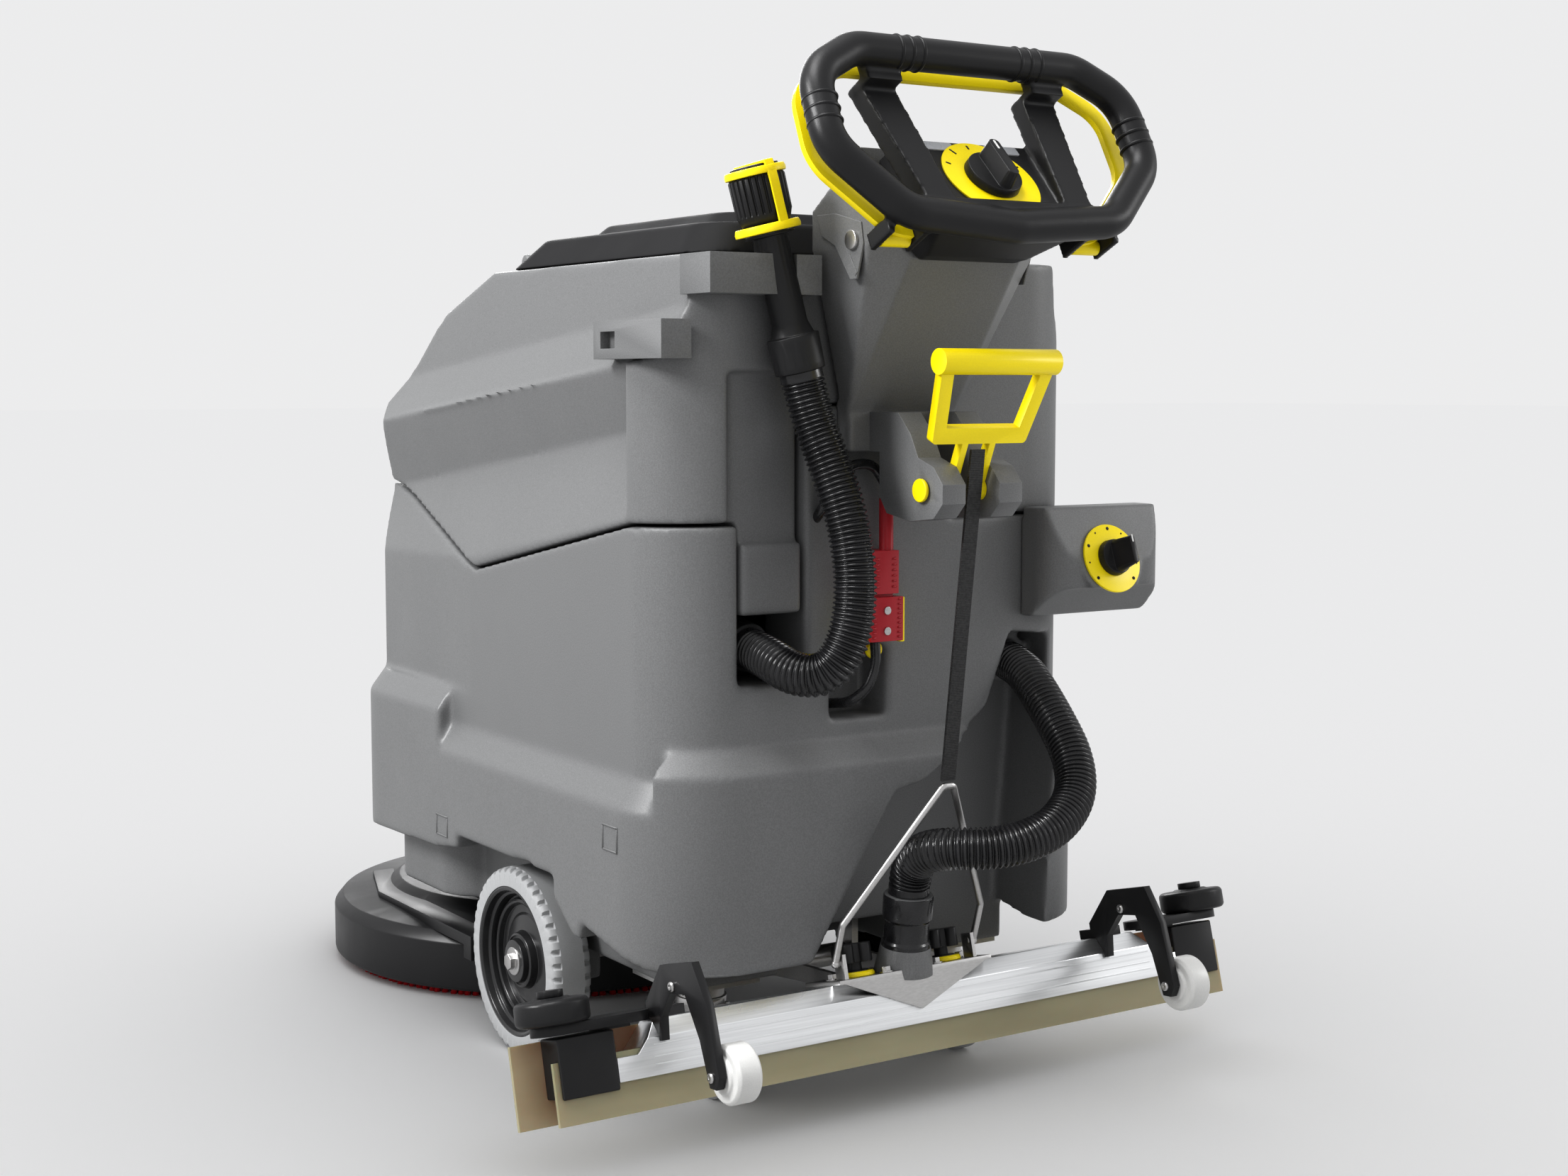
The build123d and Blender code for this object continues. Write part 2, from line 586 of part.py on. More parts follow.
with BuildPart() as handle_loop:
    # round rim: a tube swept along its own middle line
    path = rim_sketch(RIM_R).faces()[0].outer_wire().moved(HANDLE.location)
    with BuildSketch(Plane(path @ 0, z_dir=path % 0)):
        Circle(RIM_R)
    sweep(path=path)
    # recessed control panel
    with BuildSketch(PANEL.offset(-PANEL_THICK)):
        with Locations((0, (PANEL_LOW + PANEL_HIGH) / 2)):
            Rectangle(2 * PANEL_HALF, PANEL_HIGH - PANEL_LOW)
    extrude(amount=PANEL_THICK)
    # broad rib on each side of it, with a foot on the lower rim and a saddle under the upper one
    for side in (-1, 1):
        with BuildSketch(RIBS.offset(-20)):
            with BuildLine():
                Polyline(
                    (side * RIB_FOOT[0], RIB_LOW), (side * RIB_FOOT[1], RIB_LOW),
                    (side * RIB_TOP[1], RIB_HIGH), (side * RIB_TOP[0], RIB_HIGH), close=True,
                )
            make_face()
        extrude(amount=20)
        with BuildSketch(HANDLE.offset(-34)):
            with Locations((side * (RIB_TOP[0] + RIB_TOP[1]) / 2, 75)):
                Rectangle(RIB_TOP[1] - RIB_TOP[0], 30)
        extrude(amount=30)
    # web between the panel's foot and the lower rim
    with BuildSketch(HANDLE.offset(-14)):
        with BuildLine():
            Polyline((-96, -62), (96, -62), (84, -90), (-84, -90), close=True)
        make_face()
    extrude(amount=18)
    # console below the panel, seated on the neck
    console_side = [(-520, 922), (-588, 858), (-597, 846), (-551, 826), (-528, 822), (-480, 900)]
    console_face = [(-50, 818), (-80, 846), (-80, 940), (80, 940), (80, 846), (50, 818)]
    add(side_solid(console_side, 99) & prism_along_y(console_face, -620, -300))
    # ears with the pins that the drive bail swings on
    for side in (-1, 1):
        for x in (BAIL_PIN_X - 19, BAIL_PIN_X + 19):
            with BuildSketch(HANDLE.offset(BAIL_PIN_N - 8)):
                with Locations((side * x, BAIL_PIN_V)):
                    Rectangle(6, 16)
            extrude(amount=34)
        with Locations(Plane(handle_point(side * BAIL_PIN_X, BAIL_PIN_V, BAIL_PIN_N), z_dir=(1, 0, 0))):
            Cylinder(3, 44)
    # channel under the upper rim that the bail moves in
    with BuildSketch(HANDLE.offset(-80)):
        with Locations((0, 98)):
            Rectangle(400, 60)
    extrude(amount=62, mode=Mode.SUBTRACT)
    add(handle_neck.part, mode=Mode.SUBTRACT)
save(handle_loop.part, "handle_loop")

DIAL_R = 50.0
with BuildPart() as dial_plate:
    with BuildSketch(PANEL):
        Circle(DIAL_R)
    extrude(amount=2)
    add(handle_loop.part, mode=Mode.SUBTRACT)
save(dial_plate.part, "dial_plate")

with BuildPart() as display_windows:
    with BuildSketch(PANEL):
        with Locations((-39, 44), (37, 44)):
            RectangleRounded(38, 11, 2)
    extrude(amount=1.2)
    add(dial_plate.part, mode=Mode.SUBTRACT)
save(display_windows.part, "display_windows")


def knob_on(plane, r, grip_w, low, high):
    """A round knob with a straight grip across it."""
    with BuildPart() as knob:
        with BuildSketch(plane.offset(low)):
            Circle(r)
        extrude(amount=8, taper=8)
        with BuildSketch(plane.offset(low + 7)):
            RectangleRounded(grip_w, 2 * r - 4, grip_w / 2 - 0.5)
        extrude(amount=high - low - 7, taper=6)
    return knob.part


save(knob_on(PANEL, 28, 15, 2.4, 28), "control_knob")

# yellow bail under the rim: open at the bottom, hinged on the ears
BAIL_N, BAIL_THICK = -33.0, 6.0
with BuildPart() as drive_bail:
    with BuildSketch(HANDLE.offset(BAIL_N)):
        add(rim_sketch(9))
        add(rim_sketch(25), mode=Mode.SUBTRACT)
    extrude(amount=BAIL_THICK)
    with BuildSketch(HANDLE.offset(BAIL_N - 20)):
        with Locations((0, -108)):
            Rectangle(180, 90)
    extrude(amount=60, mode=Mode.SUBTRACT)
    for side in (-1, 1):
        with Locations(Plane(handle_point(side * BAIL_PIN_X, BAIL_PIN_V, BAIL_PIN_N), z_dir=(1, 0, 0))):
            Cylinder(7, 30)
            Cylinder(3 + RUNNING, 60, mode=Mode.SUBTRACT)
    with BuildSketch(HANDLE.offset(-60)):
        for x in (BAIL_PIN_X - 19, BAIL_PIN_X + 19):
            with Locations((-x, BAIL_PIN_V), (x, BAIL_PIN_V)):
                Rectangle(7.4, 18)
    extrude(amount=50, mode=Mode.SUBTRACT)
save(drive_bail.part, "drive_bail")

# ---------------------------------------------------------------- lift lever, strap and wire bail
LUG_SIDE = [
    (TAIL_BACK, 684), (-480, 684), (-500, 664), (-512, 642), (-536, 634), (-550, 618), (-550, 600),
    (-536, 586), (-500, 582), (-462, 588), (-450, 604), (-450, TAIL_LOW), (TAIL_BACK, TAIL_LOW),
]
with BuildPart() as lever_bracket:
    for low, high in LEVER_LUGS:
        with BuildSketch(Plane.YZ.offset(low)):
            with BuildLine():
                Polyline(*LUG_SIDE, close=True)
            make_face()
        extrude(amount=high - low)
        with Locations(Plane(((low + high) / 2, LEVER_Y, LEVER_Z), z_dir=(1, 0, 0))):
            Cylinder(5, 60, mode=Mode.SUBTRACT)
    add(box_between((-39, TAIL_BACK - 6, TAIL_LOW), (55, TAIL_BACK, 684)))
save(lever_bracket.part, "lever_bracket")

ARM_W = 7.0
with BuildPart() as lever_pins:
    for index, (low, high) in enumerate(LEVER_LUGS):
        inner = high + ARM_W + 1 if index == 0 else low - ARM_W - 1
        outer = low - 1 if index == 0 else high + 1
        with Locations(Plane(((inner + outer) / 2, LEVER_Y, LEVER_Z), z_dir=(1, 0, 0))):
            Cylinder(5, abs(inner - outer))
        with Locations(Plane((outer + (-2 if index == 0 else 2), LEVER_Y, LEVER_Z), z_dir=(1, 0, 0))):
            Cylinder(11, 4)
save(lever_pins.part, "lever_pins")

LEVER_TILT = 23.0  # degrees that the lever leans back from the vertical
LEVER = Plane(
    (LEVER_X, LEVER_Y, LEVER_Z), x_dir=(1, 0, 0),
    z_dir=(0, -cos(radians(LEVER_TILT)), -sin(radians(LEVER_TILT))),
)
with BuildPart() as lift_lever:
    with BuildSketch(LEVER.offset(-5)):
        with Locations((0, 57)):
            RectangleRounded(110, 16, 4)
        for side in (-1, 1):
            with Locations((side * (20 - 0.5 - ARM_W / 2), 28)):
                Rectangle(ARM_W, 56)
            with BuildLine():
                Polyline(
                    (side * 41, 52), (side * 55, 52), (side * 66, LEVER_REACH), (side * 52, LEVER_REACH),
                    close=True,
                )
            make_face()
    extrude(amount=10)
    with Locations(Plane(LEVER.from_local_coords(Vector(0, LEVER_REACH, 0)), z_dir=(1, 0, 0))):
        Cylinder(12, 136)
    for side in (-1, 1):
        arm_x = LEVER_X + side * (20 - 0.5 - ARM_W / 2)
        with Locations(Plane((arm_x, LEVER_Y, LEVER_Z), z_dir=(1, 0, 0))):
            Cylinder(11, ARM_W)
            Cylinder(5 + RUNNING, 3 * ARM_W, mode=Mode.SUBTRACT)
save(lift_lever.part, "lift_lever")

STRAP_TOP, STRAP_LOW = (-543.0, 650.0), (-501.0, 331.0)  # (y, z) of the strap's ends
with BuildPart() as lift_strap:
    with BuildSketch(Plane.YZ):
        with BuildLine():
            (y1, z1), (y2, z2) = STRAP_TOP, STRAP_LOW
            Polyline((y1, z1), (y1 + 3, z1), (y2 + 3, z2), (y2, z2), close=True)
        make_face()
    extrude(amount=8, both=True)
strap = lift_strap.part.moved(Location((LEVER_X, 0, 0)))
save(strap, "lift_strap")

# ---------------------------------------------------------------- squeegee, drawn lowered
# PARKED carries the working position (floor at z = -PIVOT_Z) to the lifted one.
PARKED = Plane(
    (0, PIVOT_Y, PIVOT_Z), x_dir=(1, 0, 0),
    z_dir=(0, sin(radians(SQUEEGEE_SWING)), cos(radians(SQUEEGEE_SWING))),
)


def park(part):
    """Moves a piece from the lowered drawing position to the parked one."""
    return part.moved(PARKED.location * Location((0, -PIVOT_Y, -PIVOT_Z)))


def bar_across(points, x_low, x_high):
    """A straight piece across the machine from its (y, z) section."""
    with BuildPart() as piece:
        with BuildSketch(Plane.YZ.offset(x_low)):
            with BuildLine():
                Polyline(*points, close=True)
            make_face()
        extrude(amount=x_high - x_low)
    return piece.part


BAR_FRONT, BAR_BACK, BAR_LOW, BAR_TOP = -428.0, -463.0, 30.0, 80.0
BLADE = 4.0
BLADE_BACK = BAR_BACK + BLADE  # rear face of the rear blade, which a lip of the bar covers
BLADE_TOP = 57.0
BAR_END, CAP_END = 338.0, 395.0

with BuildPart() as squeegee_bar:
    add(bar_across(
        [
            (BAR_FRONT, BAR_LOW), (BAR_FRONT, BAR_TOP), (-452, BAR_TOP), (BAR_BACK, 64),
            (BAR_BACK, BAR_LOW), (BLADE_BACK, BAR_LOW), (BLADE_BACK, BLADE_TOP),
            (BLADE_BACK + BLADE, BLADE_TOP), (BLADE_BACK + BLADE, BAR_LOW),
        ],
        -BAR_END, BAR_END,
    ))
    # the ends slope in above the ledge
    for side in (-1, 1):
        with BuildSketch(Plane((0, -400, 0), x_dir=(1, 0, 0), z_dir=(0, -1, 0))):
            with BuildLine():
                Polyline((side * 290, 81), (side * 316, 52), (side * 340, 52), (side * 340, 81), close=True)
            make_face()
        extrude(amount=80, mode=Mode.SUBTRACT)
save(park(squeegee_bar.part), "squeegee_bar")

with BuildPart() as squeegee_blades:
    add(box_between((-SQUEEGEE_HALF, BAR_FRONT, 1), (SQUEEGEE_HALF, BAR_FRONT + BLADE, 76)))
    add(box_between((-400, BLADE_BACK, 1), (400, BLADE_BACK + BLADE, BLADE_TOP)))
save(park(squeegee_blades.part), "squeegee_blades")

with BuildPart() as end_caps:
    for side in (-1, 1):
        low, high = sorted((side * BAR_END, side * CAP_END))
        add(box_between((low, BAR_BACK, 24), (high, BAR_FRONT, 78)))
        add(box_between((low, BLADE_BACK, 0), (high, BLADE_BACK + BLADE, BLADE_TOP)), mode=Mode.SUBTRACT)
save(park(end_caps.part), "end_caps")

with BuildPart() as yoke_plate:
    add(box_between((-92, BAR_BACK - 3, BAR_TOP), (92, -404, BAR_TOP + 4)))
    # triangular flap over the back of the bar
    with BuildSketch(Plane((0, BAR_BACK, 0), x_dir=(1, 0, 0), z_dir=(0, -1, 0))):
        with BuildLine():
            Polyline((-86, BAR_TOP), (0, 44), (86, BAR_TOP), close=True)
        make_face()
    extrude(amount=3)
    # ears for the wire bail
    for side in (-1, 1):
        low, high = sorted((side * 76, side * 80))
        add(box_between((low, -458, BAR_TOP), (high, -442, 108)))
    with Locations(Plane((0, -450, 100), z_dir=(1, 0, 0))):
        Cylinder(3.5 + RUNNING, 300, mode=Mode.SUBTRACT)
    add(squeegee_bar.part, mode=Mode.SUBTRACT)
save(park(yoke_plate.part), "yoke_plate")

with BuildPart() as star_knobs:
    for x in (-53, 53):
        with Locations((x, -436, BAR_TOP + 4)):
            Cylinder(13, 6, align=FLAT)
            Cylinder(7, 22, align=FLAT)
        with BuildSketch(Plane.XY.offset(BAR_TOP + 18)):
            with Locations((x, -436)):
                Circle(13)
                with PolarLocations(15, 5):
                    Circle(6)
        extrude(amount=18)
save(park(star_knobs.part), "star_knobs")

SPIGOT = Plane((0, -441, 133), x_dir=(1, 0, 0), z_dir=(0, -0.09, 1))
with BuildPart() as suction_spigot:
    for r_low, r_high, low, high in ((30, 25, 0, 26), (23, 21, 26, 56), (24, 24, 56, 78.6)):
        with BuildSketch(SPIGOT.offset(low)):
            Circle(r_low)
        with BuildSketch(SPIGOT.offset(high)):
            Circle(r_high)
        loft(ruled=True)
    with BuildSketch(SPIGOT.offset(12)):
        Circle(16)
    extrude(amount=90, mode=Mode.SUBTRACT)
    for piece in (squeegee_bar, yoke_plate, star_knobs):
        add(park(piece.part), mode=Mode.SUBTRACT)
save(suction_spigot.part.solids().sort_by(SortBy.VOLUME)[-1], "suction_spigot")

with BuildPart() as squeegee_arm:
    for x in (-44, 44):
        add(bar_across(
            [
                (PIVOT_Y + 10, 90), (PIVOT_Y + 10, 110), (PIVOT_Y - 20, 110), (-404, 84), (-404, 70),
                (PIVOT_Y - 20, 90),
            ],
            x - 3, x + 3,
        ))
    add(box_between((-47, -426, BAR_TOP + 4), (47, -398, BAR_TOP + 8)))
    add(box_between((-47, -404, 70), (47, -398, BAR_TOP + 8)))
    with Locations(Plane((0, PIVOT_Y, PIVOT_Z), z_dir=(1, 0, 0))):
        Cylinder(12, 116)
        Cylinder(6 + RUNNING, 150, mode=Mode.SUBTRACT)
    add(yoke_plate.part, mode=Mode.SUBTRACT)
    add(star_knobs.part, mode=Mode.SUBTRACT)
save(park(squeegee_arm.part), "squeegee_arm")

with BuildPart() as squeegee_pivot:
    for side in (-1, 1):
        low, high = sorted((side * 62, side * 70))
        add(box_between((low, PIVOT_Y - 12, PIVOT_Z - 10), (high, PIVOT_Y + 12, 162)))
    with Locations(Plane((0, PIVOT_Y, PIVOT_Z), z_dir=(1, 0, 0))):
        Cylinder(6, 148)
save(squeegee_pivot.part, "squeegee_pivot")

BRACKET_SIDE = [
    (-446, BAR_TOP), (-446, 96), (-482, 128), (-540, 128), (-556, 90), (-561, 26), (-554, 16),
    (-543, 18), (-536, 60), (-520, 100), (-494, 102), (-472, BAR_TOP + 2), (-468, 60), (BAR_BACK, 60),
    (BAR_BACK, 64), (-452, BAR_TOP),
]
ROLLER_X = (-285.0, 249.0)  # inner face of each bracket's plate
DEFLECTOR_X, DEFLECTOR_Y, DEFLECTOR_R = 388.0, -446.0, 34.0
with BuildPart() as squeegee_brackets:
    for x in ROLLER_X:
        add(bar_across(BRACKET_SIDE, x - 8, x))
        add(box_between((x - 8, -449, BAR_TOP), (x + 30, BAR_FRONT, BAR_TOP + 9)))
        with Locations(Plane((x + 16, -549, 27), z_dir=(1, 0, 0))):
            Cylinder(5, 34)
        with Locations(Plane((x + 34.5, -549, 27), z_dir=(1, 0, 0))):
            Cylinder(8, 3)
    for side in (-1, 1):
        with BuildSketch(Plane.XY.offset(BAR_TOP + 1)):
            with Locations((side * 352, DEFLECTOR_Y)):
                SlotCenterToCenter(72, 44)
        extrude(amount=9)
        low, high = sorted((side * 318, side * 345))
        add(box_between((low, -458, 78), (high, BAR_FRONT, BAR_TOP + 1)))
        with Locations((side * DEFLECTOR_X, DEFLECTOR_Y, BAR_TOP + 5)):
            Cylinder(5, 34, align=FLAT)
        with Locations((side * DEFLECTOR_X, DEFLECTOR_Y, BAR_TOP + 34.5)):
            Cylinder(12, 6, align=FLAT)
    add(squeegee_bar.part, mode=Mode.SUBTRACT)
    add(end_caps.part, mode=Mode.SUBTRACT)
save(park(squeegee_brackets.part), "squeegee_brackets")

for name, x in zip(("left", "right"), ROLLER_X):
    plane = Plane((x + 16.5, -549, 27), x_dir=(0, 1, 0), z_dir=(1, 0, 0))
    bore = 5 + RUNNING
    save(park(revolve_on(plane, [
        (bore, -15.5), (16, -15.5), (18, -13), (ROLLER_R - 3, -13), (ROLLER_R, -10), (ROLLER_R, 10),
        (ROLLER_R - 3, 13), (18, 13), (16, 15.5), (bore, 15.5),
    ])), f"{name}_roller")
for name, side in (("left", -1), ("right", 1)):
    plane = Plane((side * DEFLECTOR_X, DEFLECTOR_Y, BAR_TOP + 10.4), x_dir=(1, 0, 0), z_dir=(0, 0, 1))
    bore, r = 5 + RUNNING, DEFLECTOR_R
    save(park(revolve_on(plane, [
        (bore, 0), (r - 3, 0), (r, 3), (r, 19), (r - 3, 22), (20, 22), (16, 23.7), (bore, 23.7),
    ])), f"{name}_deflector")

WIRE_R = 3.5
BAIL_FOOT = park(Vertex(0, -450, 100)).center()
BAIL_APEX = (-500.0, 326.0)
with BuildPart() as lift_bail:
    shoulder_z = BAIL_FOOT.Z + 40
    right_half = [
        (14, *BAIL_APEX), (84, BAIL_FOOT.Y - 12, shoulder_z), (84, BAIL_FOOT.Y, BAIL_FOOT.Z),
    ]
    left_half = [(2, *BAIL_APEX), (-84, BAIL_FOOT.Y - 12, shoulder_z), (-84, BAIL_FOOT.Y, BAIL_FOOT.Z)]
    with BuildLine() as wire:
        FilletPolyline(*reversed(left_half), *right_half, radius=5)
    with BuildSketch(Plane(wire.line @ 0, z_dir=wire.line % 0)):
        Circle(WIRE_R)
    sweep(path=wire.line)
    for side in (-1, 1):
        with Locations(Plane((side * 80, BAIL_FOOT.Y, BAIL_FOOT.Z), z_dir=(1, 0, 0))):
            Cylinder(WIRE_R, 9)
        with Locations((side * 84, BAIL_FOOT.Y, BAIL_FOOT.Z)):
            Sphere(WIRE_R + 1)
save(lift_bail.part, "lift_bail")

# ---------------------------------------------------------------- hoses and the drain's fittings
def hose_tube(points, r):
    """A round tube along straight runs joined by the largest arcs that fit."""
    vectors = [Vector(*p) for p in points]
    radii = []
    for before, here, after in zip(vectors, vectors[1:], vectors[2:]):
        turn = (here - before).get_angle(after - here)
        run = min((here - before).length, (after - here).length)
        radii.append(0.45 * run / max(1e-3, sin(radians(turn) / 2) / cos(radians(turn) / 2)))
    with BuildLine() as line:
        FilletPolyline(*vectors, radius=radii)
    path = line.wire()
    with BuildPart() as tube:
        with BuildSketch(Plane(path @ 0, z_dir=path % 0)):
            Circle(r)
        sweep(path=path)
    ratio = tube.part.volume / (pi * r * r * path.length)
    print("tube", round(path.length, 1), "mm, volume ratio", round(ratio, 4), [round(x) for x in radii])
    return tube.part


DRAIN_TOP = (-168.0, -428.0, 914.0)  # middle of the drain cap's top
DRAIN_FOOT = HOSE_DRAIN[-1]


def on_drain(r_start, r_end, s_from, s_to):
    """A round solid on the drain's axis, between two distances from the hose's end."""
    return cone_along(DRAIN_FOOT, DRAIN_TOP, r_start, r_end, s_from, s_to)


save(hose_tube(HOSE_SUCTION, HOSE_R), "suction_hose")
save(hose_tube(HOSE_DRAIN, HOSE_R), "drain_hose")

with BuildPart() as drain_fittings:
    for r_low, r_high, low, high in (
        (24, 25, 0, 34), (21, 17, 34, 46), (17, 17, 46, 128), (24, 24, 128, 131),
    ):
        add(on_drain(r_low, r_high, low, high))
    add(cone_along(HOSE_DRAIN[0], HOSE_DRAIN[1], 24, 24, -44, 0))
save(drain_fittings.part, "drain_fittings")

with BuildPart() as drain_cap:
    for r_low, r_high, low, high in ((22, 26, 139, 148), (26, 27, 148, 184), (24, 22, 184, 194)):
        add(on_drain(r_low, r_high, low, high))
save(drain_cap.part, "drain_cap")

with BuildPart() as cap_strap:
    add(on_drain(30, 31, 131.4, 139))
    add(on_drain(29, 28, 184, 191))
    add(on_drain(24, 24, 183, 192), mode=Mode.SUBTRACT)
    rear_strip = box_between((-210, -470, 700), (-100, -448, 1000))
    add(on_drain(27.5, 27.5, 130, 200) & rear_strip)
    add(drain_cap.part, mode=Mode.SUBTRACT)
    add(drain_fittings.part, mode=Mode.SUBTRACT)
save(cap_strap.part.solids().sort_by(SortBy.VOLUME)[-1], "cap_strap")

body = recovery_tank()
with BuildPart() as tank_clips:
    add(box_between((-226, BODY_REAR - 34, 793), (-104, BODY_REAR + 20, 830)))
    add(box_between((-260, -418, 734), (-228, -288, 770)))
    add(box_between((-300, -330, 744), (-250, -302, 760)), mode=Mode.SUBTRACT)
    add(on_drain(17, 17, 40, 128), mode=Mode.SUBTRACT)
    add(box_between((-150, BODY_REAR - 60, 780), (-132, BODY_REAR - 18, 840)), mode=Mode.SUBTRACT)
    add(body, mode=Mode.SUBTRACT)
save(tank_clips.part, "tank_clips")

# ---------------------------------------------------------------- controls and leads on the rear
housing = lower_housing()
DOSING = Plane((238, -462, 530), x_dir=(1, 0, 0), z_dir=(0, -0.94, 0.34))
DOSING_LOW, DOSING_HIGH = 474.0, 586.0
with BuildPart() as dosing_housing:
    with BuildSketch(Plane.XY.offset(DOSING_LOW)):
        with Locations((241, -423)):
            RectangleRounded(152, 94, 32)
    extrude(amount=DOSING_HIGH - DOSING_LOW)
    with BuildSketch(DOSING.offset(-30)):
        Circle(44)
    extrude(amount=38, taper=4)
    # flat face below the knob, and a sloping underside
    with BuildSketch(DOSING.offset(8)):
        Rectangle(400, 400)
    extrude(amount=90, mode=Mode.SUBTRACT)
    add(side_solid([(-600, 470), (-600, 504), (-464, 504), (-425, 470)], 400), mode=Mode.SUBTRACT)
    # the tank above stays free
    add(housing, mode=Mode.SUBTRACT)
    above = box_between((0, BODY_REAR - 2, 574), (400, -300, 700))
    add(above, mode=Mode.SUBTRACT)
save(dosing_housing.part.solids().sort_by(SortBy.VOLUME)[-1], "dosing_housing")

with BuildPart() as dosing_ring:
    with BuildSketch(DOSING.offset(8)):
        Circle(36)
    extrude(amount=3)
save(dosing_ring.part, "dosing_ring")
save(knob_on(DOSING, 19, 12, 11.4, 46), "dosing_knob")

with BuildPart() as battery_connector:
    add(box_between((-42, BODY_REAR - 28, 462), (-4, BODY_REAR, 505)))
    add(box_between((-38, BODY_REAR - 26, 508), (-8, BODY_REAR, 550)))
    add(box_between((-34, BODY_REAR - 22, 505), (-12, BODY_REAR, 508)))
    with Locations((-14, BODY_REAR - 13, 550)):
        Cylinder(7, 50, align=FLAT)
save(battery_connector.part, "battery_connector")

with BuildPart() as connector_guards:
    for x in (-47, -4):
        add(box_between((x, BODY_REAR - 24, 460), (x + 5, BODY_REAR, 504)))
    with BuildSketch(Plane((0, BODY_REAR - 4, 0), x_dir=(1, 0, 0), z_dir=(0, -1, 0))):
        with Locations((-24, 452)):
            Circle(9)
            Circle(5, mode=Mode.SUBTRACT)
    extrude(amount=5)
save(connector_guards.part, "connector_guards")

LEAD_R = 5.0
LEAD_UPPER = [
    (-14, -427, 600), (-16, -428, 614), (-32, -430, 634), (-58, -430, 634), (-78, -428, 616),
    (-86, -424, 592), (-86, -406, 578),
]
LEAD_LOWER = [(-32, -434, 462), (-33, -438, 440), (-42, -436, 416), (-52, -420, 402), (-54, -380, 396)]
with BuildPart() as battery_lead:
    add(hose_tube(LEAD_UPPER, LEAD_R))
    add(hose_tube(LEAD_LOWER, LEAD_R))
    add(housing, mode=Mode.SUBTRACT)
    add(battery_connector.part, mode=Mode.SUBTRACT)
    add(connector_guards.part, mode=Mode.SUBTRACT)
save(battery_lead.part, "battery_lead")

# ---------------------------------------------------------------- inside
with BuildPart() as batteries:
    for y in (-228, -54):
        with BuildSketch(Plane.XY.offset(222)):
            with Locations((0, y)):
                RectangleRounded(330, 170, 6)
        extrude(amount=240)
        with Locations((-130, y + 50, 462), (130, y + 50, 462)):
            Cylinder(8, 16, align=FLAT)
save(batteries.part, "batteries")

with BuildPart() as suction_turbine:
    with Locations((-100, 130, 222)):
        Cylinder(72, 60, align=FLAT)
    with Locations((-100, 130, 282)):
        Cylinder(50, 90, align=FLAT)
save(suction_turbine.part, "suction_turbine")

with BuildPart() as control_board:
    add(box_between((40, 60, 222), (200, 210, 236)))
    for x in (70, 120, 170):
        add(box_between((x - 12, 90, 236), (x + 12, 180, 262)))
save(control_board.part, "control_board")

with BuildPart() as float_filter:
    with Locations((60, -180, 600)):
        Cylinder(45, 26, align=FLAT)
        Cylinder(32, 130, align=FLAT)
        Cylinder(26, 120, align=FLAT, mode=Mode.SUBTRACT)
save(float_filter.part, "float_filter")

with BuildPart() as fasteners:
    for side in (-1, 1):
        with Locations(Plane((side * (AXLE_END + 1.5), WHEEL_Y, WHEEL_R), z_dir=(1, 0, 0))):
            Cylinder(15, 3)
        with BuildSketch(Plane((side * (AXLE_END + 3), WHEEL_Y, WHEEL_R), z_dir=(side, 0, 0))):
            RegularPolygon(9, 6)
        extrude(amount=6)
        with BuildSketch(Plane((side * 97, SCREW_Y, SCREW_Z), z_dir=(side, 0, 0))):
            Circle(4)
        extrude(amount=3)
        with BuildSketch(Plane((side * 98.2, SCREW_Y, SCREW_Z), z_dir=(side, 0, 0))):
            Circle(9)
        extrude(amount=5)
    add(handle_neck.part, mode=Mode.SUBTRACT)
save(fasteners.part, "fasteners")

save(housing, "lower_housing")
save(body, "recovery_tank")
save(tank_lid(), "tank_lid")
save(lid_gasket(), "lid_gasket")
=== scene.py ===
"""Looks of the walk-behind scrubber dryer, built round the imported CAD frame."""
import json
import math
import random

import bmesh
import bpy
import numpy as np
from mathutils import Matrix, Vector


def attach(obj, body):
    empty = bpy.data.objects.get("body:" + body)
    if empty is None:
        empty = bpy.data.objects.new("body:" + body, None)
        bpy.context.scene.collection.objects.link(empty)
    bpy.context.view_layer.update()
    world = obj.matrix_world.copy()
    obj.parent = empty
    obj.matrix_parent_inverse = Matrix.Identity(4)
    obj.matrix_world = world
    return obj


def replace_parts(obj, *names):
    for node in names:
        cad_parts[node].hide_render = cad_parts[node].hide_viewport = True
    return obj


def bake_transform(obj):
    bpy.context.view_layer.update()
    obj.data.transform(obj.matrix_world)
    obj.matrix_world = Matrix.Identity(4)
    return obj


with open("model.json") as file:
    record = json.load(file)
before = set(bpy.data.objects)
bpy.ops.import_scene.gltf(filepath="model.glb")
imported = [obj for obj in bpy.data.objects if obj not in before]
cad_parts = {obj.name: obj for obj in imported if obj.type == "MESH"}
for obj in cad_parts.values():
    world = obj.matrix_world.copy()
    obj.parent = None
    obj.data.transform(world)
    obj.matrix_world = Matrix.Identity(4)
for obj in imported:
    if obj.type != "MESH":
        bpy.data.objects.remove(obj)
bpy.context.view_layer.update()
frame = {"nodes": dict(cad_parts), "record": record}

NODES = frame["nodes"]
MM = 0.001
DATUM_Y = 17.5  # millimetres from the drawing's datum to the middle of the object


# ---------------------------------------------------------------- camera and light
CAMERA_AT = (-1.252, -2.1265, 0.710)
CAMERA_TURN, CAMERA_DIP = 33.1, 5.34  # degrees to the right of +Y, and below the horizon

